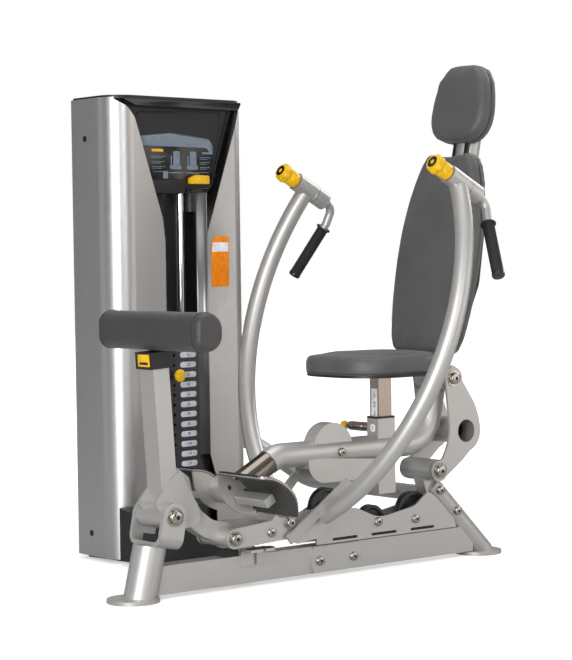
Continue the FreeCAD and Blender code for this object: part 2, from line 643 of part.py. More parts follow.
arm_tools = fuse("lower_arm_tools",
                 cross_rod("hub_b_bore", 10.05, 90.0, "Dims.pivot_b_y", "Dims.pivot_b_z"),
                 cross_rod("hub_a_clear", "Dims.hub_a_radius + 0.1", 60.0, "Dims.pivot_a_y",
                           "Dims.pivot_a_z"))
node("lower_arm", cut("lower_arm_body", arm_mass, arm_tools), gusset,
     mirror("gusset_left", gusset))

collar_block = box("collar_block", ("Dims.collar_x", "Dims.collar_y", "Dims.collar_height"),
                   ("-Dims.collar_x / 2", "-Dims.collar_y / 2", 0))
collar_space = box("collar_space", ("Dims.upright_x + 0.6", "Dims.upright_y + 0.6", 60),
                   ("-Dims.upright_x / 2 - 0.3", "-Dims.upright_y / 2 - 0.3", -5))
collar_turned = group("collar_turned", cut("collar_ring", collar_block, collar_space))
collar_turned.Placement = FreeCAD.Placement(V(0, 78.25, 607.2),
                                            FreeCAD.Rotation(V(1, 0, 0), UP_TILT))
node("pad_collar", collar_turned)

front_pad_profile = rounded([(51, 653, 30), (139, 653, 44), (139, 757, 44), (51, 757, 36)])
front_pad = prism("front_pad_body", "YZ", [front_pad_profile], "-Dims.front_pad_half",
                  "2 * Dims.front_pad_half")
pad_lift = cut("front_pad_cut", front_pad, box("pad_seat", (90, 70, 6), (-45, 45, 652.9)))
node("front_pad", front_pad)

# -------------------------------------------------------------- press arms

B_Y, B_Z = D["pivot_b_y"], D["pivot_b_z"]
crank_shape = rounded([(285, 116, 0), (476, 126, 20), (501, 109, 8), (575, 117, 14),
                       (603, 140, 14), (600, 178, 14), (580, 197, 14), (528, 197, 40),
                       (470, 184, 50), (438, 186, 4), (425, 196, 3), (410, 180, 8),
                       (285, 170, 0)])
crank_web = side_plate("crank_web", [crank_shape], "Dims.crank_inner", "Dims.crank_thick")
crank_eye = rod("crank_eye", 27.0, (D["crank_inner"], B_Y, B_Z),
                (D["crank_inner"] + D["crank_thick"], B_Y, B_Z))
crank_drill = fuse("crank_drill", cross_rod("crank_bore_b", 10.0, 90.0, B_Y, B_Z),
                   cross_rod("crank_bore_c", 9.0, 90.0, 471.0, 170.0))
crank = cut("crank_right", fuse("crank_blank", crank_web, crank_eye), crank_drill)
cross_tube = cross_rod("crank_cross", 17.0, "Dims.crank_inner", 552.0, 150.0)
fork_shape = rounded([(536, 140, 10), (556, 131, 16), (640, 172, 20), (676, 180, 18), (674, 206, 18),
                      (640, 208, 20), (560, 172, 20), (538, 165, 10)])
fork_flat = side_plate("fork_flat", [fork_shape, circle(656, 190, 8.0)], 15.0, 5.0)
fork = cut("fork_right", fork_flat, cross_rod("fork_clear", 17.0, 40.0, 552.0, 150.0))
axle_c = cross_rod("axle_c_tube", 12.0, "Dims.crank_inner", 471.0, 170.0)
axle_c_bore = cross_rod("axle_c_bore", 9.0, 90.0, 471.0, 170.0)
node("crank_plates", crank, mirror("crank_left", crank), cross_tube, fork,
     mirror("fork_left", fork), cut("axle_c", axle_c, axle_c_bore))

LEAN_ARM = math.radians(D["arm_lean"])


def arm_point(s):
    """Centre of the right-hand arm tube at the height step s along its plane."""
    x = D["arm_centre_x"] + math.sqrt(D["arm_arc"] ** 2 - s * s)
    return V(x, D["arm_centre_y"] + s * math.sin(LEAN_ARM),
             D["arm_centre_z"] + s * math.cos(LEAN_ARM))


arm_wire = Part.Wire([Part.Arc(arm_point(-588.0), arm_point(-114.0), arm_point(360.0)).toShape()])
arm_raw = pipe_shape(arm_wire, D["arm_radius"])
arm_hollow = arm_raw.cut(pipe_shape(arm_wire, D["arm_radius"] - D["arm_wall"]))
arm_right = doc.addObject("Part::Feature", "arm_right_raw")
arm_right.Shape = arm_hollow
SLEEVE_DIR = V(0, 149.0, -81.0).normalize()
SLEEVE_START = V(326.5, 794.0, 1135.0)


def sleeve_point(u):
    return SLEEVE_START + SLEEVE_DIR * u


def sleeve_rod(name, radius, u0, u1):
    return rod(name, radius, tuple(sleeve_point(u0)), tuple(sleeve_point(u1)))


arm_trim = cut("arm_right", arm_right, sleeve_rod("arm_cope", "Dims.sleeve_radius", 40, 160))
crank_clear = side_plate("crank_clear", [crank_shape], "Dims.crank_inner - 0.0",
                         "Dims.crank_thick")
arm_notched = cut("arm_right_notched", arm_trim, crank_clear)
blade_shape = [V(74, 470, 112), V(112, 660, 262), V(112, 640, 282), V(74, 452, 134)]
blade_wire = Part.makePolygon(blade_shape + [blade_shape[0]])
blade = doc.addObject("Part::Feature", "arm_blade_raw")
blade.Shape = Part.makeFilledFace(blade_wire.Edges).extrude(V(8, 0, 0))
blade_clear = cut("arm_blade_a", blade, crank_clear)
blade_body = cut("arm_blade", blade_clear, tube("arm_blade_tube", arm_wire, D["arm_radius"], 0.0))
node("press_arm_tubes", arm_notched, mirror("arm_left", arm_notched), blade_body,
     mirror("arm_blade_left", blade_body))

sleeve_bar = sleeve_rod("sleeve_bar", "Dims.sleeve_radius", 46, 116)
sleeve_hole = sleeve_rod("sleeve_hole", "Dims.sleeve_bore", 40, 130)
sleeve = cut("sleeve_right", sleeve_bar, sleeve_hole)
node("handle_sleeves", sleeve, mirror("sleeve_left", sleeve))

spindle = sleeve_rod("spindle", 16.95, 72, 124)
handle_collar = sleeve_rod("handle_collar", 27.5, 124, 169)
handle_ring = sleeve_rod("handle_ring", 24.0, 117, 124)
GRIP_TOP = V(348, 962, 981)
GRIP_LOW = V(434, 915, 839)
grip_dir = (GRIP_LOW - GRIP_TOP).normalize()
collar_end = sleeve_point(169)
bend = sleeve_point(205)
HANDLE = path_wire([tuple(sleeve_point(160)), tuple(bend) + (34.0,),
                    tuple(GRIP_TOP - grip_dir * 8) + (24.0,), tuple(GRIP_LOW - grip_dir * 4)])
handle_bar = tube("handle_bar", HANDLE, D["handle_tube"], 0.0)
handle_right = fuse("handle_right", spindle, handle_ring, handle_collar, handle_bar)
node("right_handle", handle_right)
node("left_handle", mirror("handle_left", handle_right))

grip_start = GRIP_TOP + grip_dir * 6
grip_bar = rod("grip_bar", "Dims.grip_radius", tuple(grip_start), tuple(GRIP_LOW))
grip_flange = rod("grip_flange", 22.0, tuple(grip_start), tuple(grip_start + grip_dir * 5))
grip_cap = rod("grip_cap", 18.0, tuple(GRIP_LOW - grip_dir * 3), tuple(GRIP_LOW + grip_dir * 9))
grip_hole = rod("grip_hole", "Dims.handle_tube + 0.02", tuple(grip_start - grip_dir * 30),
                tuple(GRIP_LOW - grip_dir * 3.9))
grip_right = cut("grip_right", fuse("grip_mass", grip_bar, grip_flange, grip_cap), grip_hole)
node("right_grip", grip_right)
node("left_grip", mirror("grip_left", grip_right))

knob_head = sleeve_rod("knob_head", "Dims.knob_radius", -20, 44)
knob_stem = sleeve_rod("knob_stem", 8.0, 44, 71)
knob_right = fuse("knob_right", knob_head, knob_stem)
node("right_knob", knob_right)
node("left_knob", mirror("knob_left", knob_right))

arm_wheel = cross_rod("arm_wheel", "Dims.arm_pulley_radius", 12.0, 656.0, 190.0)
arm_wheel_bore = cross_rod("arm_wheel_bore", 8.05, 40.0, 656.0, 190.0)
node("arm_pulley", cut("arm_wheel_cut", arm_wheel, arm_wheel_bore))
for label, y, z, radius in (("base_pulley_front", 823.0, 136.0, 46.0),
                            ("base_pulley_rear", 982.0, 150.0, 56.0)):
    wheel = cross_rod(label + "_wheel", radius, 12.0, y, z)
    bore = cross_rod(label + "_bore", 8.05, 40.0, y, z)
    node(label, cut(label + "_cut", wheel, bore))

# ---------------------------------------------------------------- carriage

hub_c = cross_rod("hub_c_bar", "Dims.hub_c_radius", "Dims.hub_c_half", 330.0, 265.0)
hub_d = cross_rod("hub_d_bar", "Dims.hub_d_radius", "Dims.hub_d_half", "Dims.pivot_d_y",
                  "Dims.pivot_d_z")
hub_d_bore = cross_rod("hub_d_bore", "Dims.pin_bore", 90.0, "Dims.pivot_d_y", "Dims.pivot_d_z")
rear_hub_raw = cut("hub_d_ring", hub_d, hub_d_bore)

chrome_raw = rod("chrome_bar", "Dims.chrome_radius", (0, 330, 265), (0, 463, 335))
node("chrome_tube", cut("chrome_body", chrome_raw,
                        cross_rod("chrome_clear", "Dims.hub_c_radius", 60.0, 330.0, 265.0)))

reline = math.radians(D["recline"])
spine = V(0, math.sin(reline), math.cos(reline))
spine_base = V(0, 1059, 424)
MAIN = path_wire([(0, 455, 331), (0, 484, 345.0, 60.0), (0, 1041.5, 345.0, 100.0),
                  tuple(spine_base + spine * 900)])
main_solid = pipe_shape(MAIN, D["main_radius"])
main_clear = doc.addObject("Part::Feature", "main_clear")
main_clear.Shape = pipe_shape(MAIN, D["main_radius"] + 0.05)
node("carriage_hubs", hub_c, cut("hub_d_body", rear_hub_raw, main_clear))
main_bore = pipe_shape(MAIN, D["main_radius"] - D["main_wall"])
main_tube = doc.addObject("Part::Feature", "main_tube_raw")
main_tube.Shape = main_solid.cut(main_bore)
main_trim = cut("main_trim", main_tube, cross_rod("main_pin_clear", "Dims.pin_bore", 90.0,
                                                  "Dims.pivot_d_y", "Dims.pivot_d_z"))
chrome_clear = rod("main_chrome_clear", "Dims.chrome_radius", (0, 330, 265), (0, 463, 335))
main_sleeve_clear = box("main_sleeve_clear", ("2 * Dims.seat_sleeve_half", 64, 215),
                        ("-Dims.seat_sleeve_half", 838, 212))
node("main_tube", cut("main_body", main_trim, fuse("main_tools", chrome_clear,
                                                   main_sleeve_clear)))

# round dome and the long belt housing below the main tube
dome = cross_rod("dome_bar", "Dims.dome_radius", "Dims.dome_half", 670.0, 357.0)
house_shape = rounded([(574, 262, 58), (830, 262, 10), (830, 315, 4), (574, 335, 10)])
house = prism("house_bar", "YZ", [house_shape], -32.0, 64.0)
house_space = box("house_space", (56, 266, 72), (-28, 560, 232))
main_path_clear = rod("house_main_clear", "Dims.main_radius + 0.05", (0, 540, 345), (0, 900, 345))
dome_ring = cut("dome_ring", dome, main_path_clear)
house_tools = fuse("house_tools", house_space,
                   rod("house_main_clear2", "Dims.main_radius + 0.05", (0, 540, 345),
                       (0, 900, 345)))
dome_body = common("dome_body", dome_ring, box("dome_upper", (80, 160, 90), (-40, 590, 345)))
node("tube_housings", dome_body, cut("house_body", house, house_tools))

# foot treads: a curved plate on each side with a ribbed rubber skin
T_Y, T_Z, T_R = D["tread_y"], D["tread_z"], D["tread_radius"]


def arc_band(inner, outer, start, stop):
    """Outline of a band between two arcs about the tread's centre, in degrees."""
    def at(radius, angle):
        turn = math.radians(angle)
        return V(T_Y + radius * math.cos(turn), T_Z + radius * math.sin(turn), 0)
    middle = (start + stop) / 2.0
    return [Part.Arc(at(outer, start), at(outer, middle), at(outer, stop)),
            Part.LineSegment(at(outer, stop), at(inner, stop)),
            Part.Arc(at(inner, stop), at(inner, middle), at(inner, start)),
            Part.LineSegment(at(inner, start), at(outer, start))]


top_skin = T_R
low_skin = T_R - D["tread_rubber"]
low_plate = low_skin - D["tread_plate"]
TREAD_W = "Dims.tread_outer - Dims.tread_inner"
plan_shape = rounded([(52, 200, 0), (250, 200, 30), (250, 400, 44), (52, 400, 0)])
plan_shape = rounded([(51, 238, 0), (250, 238, 26), (250, 378.5, 44), (51, 378.5, 0)])
plate_band = prism("tread_plate_band", "YZ", [arc_band(low_plate, low_skin, 9, 90)],
                   "Dims.tread_inner", TREAD_W)
plan_plate = prism("tread_plan_plate", "XY", [plan_shape], 150.0, 250.0)
tread_plate = common("tread_plate", plate_band, plan_plate)
node("foot_treads", tread_plate, mirror("tread_plate_left", tread_plate))
skin_band = prism("tread_skin_band", "YZ", [arc_band(low_skin, top_skin, 12, 89)],
                  "Dims.tread_inner + 5", TREAD_W + " - 10")
plan_skin = prism("tread_plan_skin", "XY",
                  [rounded([(51, 239, 0), (245, 239, 22), (245, 376, 40), (51, 376, 0)])],
                  150.0, 250.0)
tread_skin = common("tread_skin", skin_band, plan_skin)
node("tread_rubbers", tread_skin, mirror("tread_skin_left", tread_skin))

# side plates between the hub and the treads, with square tubes under the treads
lens_low = low_plate - 0.3


def lens_point(radius, angle):
    turn = math.radians(angle)
    return V(T_Y + radius * math.cos(turn), T_Z + radius * math.sin(turn), 0)


lens_a, lens_m, lens_b = lens_point(lens_low, 90), lens_point(lens_low, 48), lens_point(lens_low, 8)
lens_shape = [Part.Arc(lens_a, lens_m, lens_b),
              Part.Arc(lens_b, V(282, 225, 0), V(243, 285, 0)),
              Part.LineSegment(V(243, 285, 0), lens_a)]
lens = side_plate("lens_right", [lens_shape], 52.05, 6.0)
sq = box("tread_tube", (130, 30, 30), (58.1, 300, 216))
sq_round = rod("tread_stub", 30.0, (58.1, 330, 250), (58.2, 330, 250))
skin_round = cross_rod("tread_under", "%f" % 1.0, 300.0, T_Y, T_Z)
skin_round.Radius = lens_low
sq_trim = common("tread_tube_trim", sq, skin_round)
node("tread_brackets", lens, mirror("lens_left", lens), sq_trim, mirror("tread_tube_left", sq_trim))

# seat sleeve, with its guide bush, and the rack post that slides in it
sleeve_block = box("seat_sleeve_block", ("2 * Dims.seat_sleeve_half", 64, 215),
                   ("-Dims.seat_sleeve_half", 838, 212))
sleeve_space = box("seat_sleeve_space", ("Dims.seat_post_x + 0.8", "Dims.seat_post_y + 0.8", 240),
                   ("-Dims.seat_post_x / 2 - 0.4", 845.1, 200))
sleeve_port = rod("seat_sleeve_port", 6.1, (-30, 858, 399), (-15, 858, 399))
sleeve_main = rod("seat_sleeve_main", "Dims.main_radius", (0, 800, 345), (0, 940, 345))
sleeve_front = cut("seat_sleeve_front", sleeve_block,
                   fuse("seat_sleeve_tools", sleeve_space, sleeve_port))
node("seat_sleeve", sleeve_front)

post_block = box("seat_post_block", ("Dims.seat_post_x", "Dims.seat_post_y", 233),
                 ("-Dims.seat_post_x / 2", 845.5, 319.5))
post_holes = []
for index in range(7):
    z = 349.0 + 25.0 * index
    post_holes.append(rod("seat_post_hole_%d" % index, 6.1, (-25, 858, z), (-8, 858, z)))
node("seat_post", cut("seat_post_body", post_block, fuse("seat_post_drill", *post_holes)))


def seat_outline(inset):
    x = D["seat_width"] / 2.0 - inset
    y0, y1 = D["seat_y"] + inset, D["seat_y"] + D["seat_length"] - inset
    return rounded([(-x, y0, 140 - inset), (x, y0, 140 - inset), (x, y1, 110 - inset),
                    (-x, y1, 110 - inset)])


seat_pan = prism("seat_pan_body", "XY", [seat_outline(4.0)], "Dims.seat_pan_z",
                 "Dims.seat_pan_thick")
node("seat_pan", seat_pan)
seat_pad = prism("seat_pad_body", "XY", [seat_outline(0.0)],
                 "Dims.seat_pan_z + Dims.seat_pan_thick", "Dims.seat_pad_thick")
node("seat_pad", seat_pad)

pull_barrel = rod("pull_barrel", 13.5, (-128, 858, 399), (-24.4, 858, 399))
pull_stem = rod("pull_stem", 6.0, (-30, 858, 399), (-19.3, 858, 399))
pull_neck = rod("pull_neck", 5.0, (-140, 858, 399), (-126, 858, 399))
pull_ball = doc.addObject("Part::Sphere", "pull_ball")
pull_ball.Radius = 13.0
pull_ball.Placement.Base = V(-146, 858, 399)
node("seat_pull_pin", fuse("pull_pin_body", pull_barrel, pull_stem, pull_neck, pull_ball))

# reclined back pad and head pad, drawn upright and then leaned back
BACK_AT = (0.0, 1007.0, 606.0)
back_shape = rounded([(-126, -0.5, 50), (126, -0.5, 50), (139, 40, 60), (150, 110, 90),
                      (162, 220, 120), (162, 350, 150), (133, 510, 120), (111, 575, 40),
                      (78, 603, 40), (0, 590, 160), (-78, 603, 40), (-111, 575, 40),
                      (-133, 510, 120), (-162, 350, 150), (-162, 220, 120), (-150, 110, 90),
                      (-139, 40, 60)])
back_pad = prism("back_pad_body", "XZ", [back_shape], "-Dims.back_pad_thick",
                 "Dims.back_pad_thick")
tube_offset = spine_base - V(*BACK_AT)
tube_depth = tube_offset.y * math.cos(reline) - tube_offset.z * math.sin(reline)


def spine_groove(name, depth, low, high):
    """Room for the main tube behind a pad, in that pad's own upright frame."""
    return rod(name, "Dims.main_radius + 1.0", (0, depth, low), (0, depth, high))


node("back_pad", cut("back_pad_cut", back_pad, spine_groove("pad_groove", tube_depth, -400, 1000)),
     base=BACK_AT, axis=(1, 0, 0), angle=-D["recline"])
board_shape = rounded([(-100, 14, 40), (100, 14, 40), (150, 220, 80), (138, 420, 80), (96, 560, 40),
                       (-96, 560, 40), (-138, 420, 80), (-150, 220, 80)])
board_gap = D["back_pad_thick"] + 0.3
board = prism("back_board_body", "XZ", [board_shape], -board_gap - 12.0, 12.0)
head_base = (0.0, 1007.0 + spine.y * 628 + 12, 606.0 + spine.z * 628 + 4)
bracket_top = box("bracket_top", (60, 10, 190), (-30, board_gap + 0.2, 545))
bracket_low = box("bracket_low", (60, 10, 240), (-30, board_gap + 12.2, 60))
tube_clear = spine_groove("board_groove", tube_depth, -400, 1000)
strap = fuse("board_strap", bracket_top, bracket_low)
node("back_board", cut("back_board_cut", fuse("back_board_fuse", board, strap), tube_clear),
     base=BACK_AT, axis=(1, 0, 0), angle=-D["recline"])

head_shape = rounded([(-80, 0, 60), (80, 0, 60), (118, 70, 60), (108, 160, 70), (70, 236, 60),
                      (-70, 236, 60), (-108, 160, 70), (-118, 70, 60)])
head_pad = prism("head_pad_body", "XZ", [head_shape], "-Dims.head_pad_thick",
                 "Dims.head_pad_thick")
head_shift = V(*head_base) - V(*BACK_AT)
head_y = head_shift.y * math.cos(reline) - head_shift.z * math.sin(reline)
head_z = head_shift.y * math.sin(reline) + head_shift.z * math.cos(reline)
head_slot = box("head_slot", (60.6, 40, 192),
                (-30.3, board_gap - 0.1 - head_y, 545 - 1 - head_z))
head_groove = spine_groove("head_groove", tube_depth - head_y, -300, 738 - head_z)
node("headrest", cut("head_pad_cut", head_pad, fuse("head_tools", head_slot, head_groove)),
     base=head_base, axis=(1, 0, 0), angle=-D["recline"])

# -------------------------------------------------------------- rear links

link_shape = [Part.Arc(V(1061, 521, 0), V(1092, 565, 0), V(1124.5, 526, 0)),
              Part.LineSegment(V(1124.5, 526, 0), V(1158, 479, 0)),
              Part.Arc(V(1158, 479, 0), V(1186, 430, 0), V(1197, 374, 0)),
              Part.Arc(V(1197, 374, 0), V(1184, 338, 0), V(1156, 318, 0)),
              Part.LineSegment(V(1156, 318, 0), V(1123, 291, 0)),
              Part.LineSegment(V(1123, 291, 0), V(1058, 248, 0)),
              Part.Arc(V(1058, 248, 0), V(1010, 247.5, 0), V(1017, 293, 0)),
              Part.LineSegment(V(1017, 293, 0), V(1045, 300, 0)),
              Part.Arc(V(1045, 300, 0), V(1068, 345, 0), V(1076, 396, 0)),
              Part.LineSegment(V(1076, 396, 0), V(1061, 521, 0))]
link_holes = [circle(1092, 532, D["pin_bore"]), circle(1033, 267, D["pin_bore"]),
              circle(1140, 376, 33.0)]
link = side_plate("link_right", [link_shape] + link_holes, "Dims.link_inner", "Dims.link_thick")
link_tube_outer = cross_rod("link_tube_outer", 38.0, "Dims.link_inner", 1140.0, 376.0)
link_tube_inner = cross_rod("link_tube_inner", 33.0, "Dims.link_inner + 20", 1140.0, 376.0)
node("link_plates", link, mirror("link_left", link), cut("link_tube", link_tube_outer,
                                                         link_tube_inner))

# --------------------------------------------------------------- fasteners

base_items = []
base_items.append(cross_rod("pin_a", "Dims.pin_radius", 71.0, "Dims.pivot_a_y", "Dims.pivot_a_z"))
for side in (1, -1):
    tag = "r" if side > 0 else "l"
    base_items.append(rod("pin_a_washer_" + tag, 25.0, (side * 70.5, PA_Y, PA_Z),
                          (side * 73.5, PA_Y, PA_Z)))
    base_items.append(button_bolt("pin_a_head_" + tag, (73.5, PA_Y, PA_Z), side, 16.0, 9.0))
    for index, (y, z) in enumerate(((609, 47), (733, 47))):
        base_items.append(button_bolt("splice_bolt_%s%d" % (tag, index), (31.8, y, z), side))
    for index, (y, z) in enumerate(((823, 136), (968, 131))):
        base_items.append(button_bolt("guard_bolt_%s%d" % (tag, index), (35.0, y, z), side))
    for index, (y, z) in enumerate(((1134, 139), (1067, 205))[:2 if side > 0 else 1]):
        base_items.append(rod("post_boss_%s%d" % (tag, index), 13.0, (side * 33.0, y, z),
                              (side * 36.0, y, z)))
        base_items.append(button_bolt("post_bolt_%s%d" % (tag, index), (36.0, y, z), side))
for name, y, z in (("axle_p2", 823.0, 136.0), ("axle_p3", 982.0, 150.0)):
    base_items.append(cross_rod(name, 8.0, 29.0, y, z))
node("base_fasteners", *base_items)

link_items = []
for name, y, z in (("pin_d", D["pivot_d_y"], D["pivot_d_z"]), ("pin_e", D["pivot_e_y"], D["pivot_e_z"])):
    link_items.append(cross_rod(name, "Dims.pin_radius", 70.0, y, z))
    for side in (1, -1):
        tag = "r" if side > 0 else "l"
        link_items.append(rod(name + "_washer_" + tag, 24.0, (side * 70.1, y, z),
                              (side * 73.0, y, z)))
        link_items.append(button_bolt(name + "_head_" + tag, (73.0, y, z), side, 15.0, 8.0))
node("link_fasteners", *link_items)

arm_items = [cross_rod("pin_b", 9.98, 70.0, "Dims.pivot_b_y", "Dims.pivot_b_z"),
             cross_rod("axle_p1", 8.0, 20.0, 656.0, 190.0)]
for side in (1, -1):
    tag = "r" if side > 0 else "l"
    arm_items.append(rod("pin_b_washer_" + tag, 21.0, (side * 69.6, B_Y, B_Z),
                         (side * 72.6, B_Y, B_Z)))
    arm_items.append(button_bolt("pin_b_head_" + tag, (72.6, B_Y, B_Z), side, 14.0, 8.0))
    arm_items.append(rod("boss_c_" + tag, 17.0, (side * 69.6, 471, 170), (side * 76, 471, 170)))
    arm_items.append(button_bolt("bolt_c_" + tag, (76.0, 471, 170), side, 12.0, 6.0))
    arm_items.append(button_bolt("bolt_k_" + tag, (69.6, 408, 149), side, 11.0, 6.0))
node("arm_fasteners", *arm_items)

car_items = []
for side in (1, -1):
    tag = "r" if side > 0 else "l"
    car_items.append(rod("hub_c_washer_" + tag, 9.5, (side * 58.1, 330, 265),
                         (side * 58.9, 330, 265)))
    car_items.append(rod("house_boss_" + tag, 13.0, (side * 35.05, 690, 344),
                         (side * 38.0, 690, 344)))
    car_items.append(button_bolt("house_bolt_" + tag, (38.0, 690, 344), side, 10.0, 5.0))
node("carriage_fasteners", *car_items)

rubber = []
for index, (y0, width) in enumerate(((332.0, 43.0), (385.0, 30.0))):
    for side in (1, -1):
        x_low = 52.0 if side > 0 else -75.0
        rubber.append(box("tab_rubber_%d%d" % (index, side), (23, width, 3),
                          (x_low, y0, 108.05)))
yoke_rubber = group("yoke_rubber", box("yoke_rubber_block", (60, 44, 20), (-30, -22, -71.95)))
yoke_rubber.Placement = FreeCAD.Placement(V(0, D["pivot_a_y"], D["pivot_a_z"]),
                                          FreeCAD.Rotation(V(1, 0, 0), LEAN))
rubber.append(yoke_rubber)
ribs = box("rail_bumper", (46, 42, 18), (-23, 288, 88.05))
rubber.append(ribs)

stack_buffers = []
for index, side in enumerate((-1, 1)):
    y = D["stack_centre"] + side * D["rod_half_gap"]
    ring = rod("buffer_%d" % index, 26.0, (-73, y, 28.05), (-73, y, 48.9))
    core = rod("buffer_bore_%d" % index, 12.75, (-73, y, 20), (-73, y, 60))
    stack_buffers.append(cut("buffer_ring_%d" % index, ring, core))
buffers = group("stack_buffers", *stack_buffers)
buffers.Placement = FreeCAD.Placement(V(D["tower_x"], D["tower_y"], 0),
                                      FreeCAD.Rotation(V(0, 0, 1), D["tower_turn"]))
node("rubber_stops", buffers, *rubber)

# ------------------------------------------------------- check and write out

doc.recompute()
faults = []
for obj in doc.Objects:
    if "Invalid" in obj.State or "Error" in obj.State:
        faults.append("%s %s" % (obj.Name, obj.State))
for obj in NODES:
    if obj.Shape.isNull() or not obj.Shape.isValid() or not obj.Shape.Solids:
        faults.append("shape of " + obj.Label)
    for solid in obj.Shape.Solids:
        if solid.Volume <= 1.0:
            faults.append("volume of %s %.3f" % (obj.Label, solid.Volume))
            print(solid.BoundBox)
for line in faults:
    print("FAULT", line)
if faults:
    raise SystemExit(1)

os.makedirs("parts", exist_ok=True)
total = FreeCAD.BoundBox()
for obj in NODES:
    total.add(obj.Shape.BoundBox)
    obj.Shape.exportStep("parts/%s.step" % obj.Label)
    bb = obj.Shape.BoundBox
    print("%-22s %2d solids  x %8.1f %8.1f  y %8.1f %8.1f  z %8.1f %8.1f" % (
        obj.Label, len(obj.Shape.Solids), bb.XMin, bb.XMax, bb.YMin, bb.YMax, bb.ZMin, bb.ZMax))
print("nodes", len(NODES))
print("box x %.2f %.2f y %.2f %.2f z %.2f %.2f" % (total.XMin, total.XMax, total.YMin,
                                                   total.YMax, total.ZMin, total.ZMax))
print("centre", (total.XMin + total.XMax) / 2, (total.YMin + total.YMax) / 2)
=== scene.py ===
import bpy, bmesh, math
from mathutils import Vector, Matrix, noise


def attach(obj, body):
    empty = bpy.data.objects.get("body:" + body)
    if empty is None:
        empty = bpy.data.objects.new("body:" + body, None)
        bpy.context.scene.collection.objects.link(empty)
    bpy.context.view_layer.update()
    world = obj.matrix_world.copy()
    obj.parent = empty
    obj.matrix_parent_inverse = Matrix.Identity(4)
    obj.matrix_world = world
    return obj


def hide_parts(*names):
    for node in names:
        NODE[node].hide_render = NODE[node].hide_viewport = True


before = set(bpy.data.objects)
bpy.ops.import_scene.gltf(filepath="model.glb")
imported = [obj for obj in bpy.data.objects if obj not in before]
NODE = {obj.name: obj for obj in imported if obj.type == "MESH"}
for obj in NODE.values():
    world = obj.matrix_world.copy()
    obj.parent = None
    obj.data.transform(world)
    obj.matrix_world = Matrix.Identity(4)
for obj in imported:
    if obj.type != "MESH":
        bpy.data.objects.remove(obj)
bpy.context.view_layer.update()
SX, SY = 0.18045, -0.625          # where the front foot's centre lies in the frame

# positions shared by several pieces, in millimetres from the front foot's centre
SEAT_Y0, SEAT_Y1, SEAT_HALF, SEAT_TOP = 664.0, 986.0, 174.0, 619.5
SPINE_Y, SPINE_Z = 1007.0, 606.0            # foot of the back cushion's face
PAD_Y, PAD_Z, PAD_HALF, PAD_CAP = 95, 705, 230, 205
PULL_Y, PULL_Z = 858, 399                   # seat pull pin
POST_FRONT, SLEEVE_FRONT, SLEEVE_TOP = 845.49, 838.1, 427.1
TREAD_Y, TREAD_Z = 238.0, 188.0             # axis that the foot plates curve about
TREAD_INNER, TREAD_OUTER = 57.4, 250.0      # their edges across the machine
PLATES, LIFTED, PLATE_LOW, PLATE_PITCH = 19, 3, 49.2, 29.8
STACK_MID, STACK_DEPTH = 170, 73            # stem, pin and belt in the tower
SIDES = ((1, "r"), (-1, "l"))


def P(x, y, z):
    """A point measured in millimetres from the front foot's centre."""
    return Vector((x / 1000 + SX, y / 1000 + SY, z / 1000))


# ---- camera

def make_camera():
    az, pitch, roll = math.radians(51.03), math.radians(2.31), math.radians(-0.80)
    fwd = Vector((-math.sin(az) * math.cos(pitch), math.cos(az) * math.cos(pitch), -math.sin(pitch)))
    right = Vector((math.cos(az), math.sin(az), 0))
    up = right.cross(fwd)
    r = math.cos(roll) * right + math.sin(roll) * up
    u = -math.sin(roll) * right + math.cos(roll) * up
    data = bpy.data.cameras.new("camera")
    data.lens, data.sensor_width, data.sensor_fit = 113.17, 36.0, "AUTO"
    data.clip_end = 50
    cam = bpy.data.objects.new("camera", data)
    bpy.context.scene.collection.objects.link(cam)
    m = Matrix((r, u, -fwd)).transposed().to_4x4()
    m.translation = P(4438.82, -3065.74, 921.37)
    cam.matrix_world = m
    bpy.context.scene.camera = cam


# ---- materials

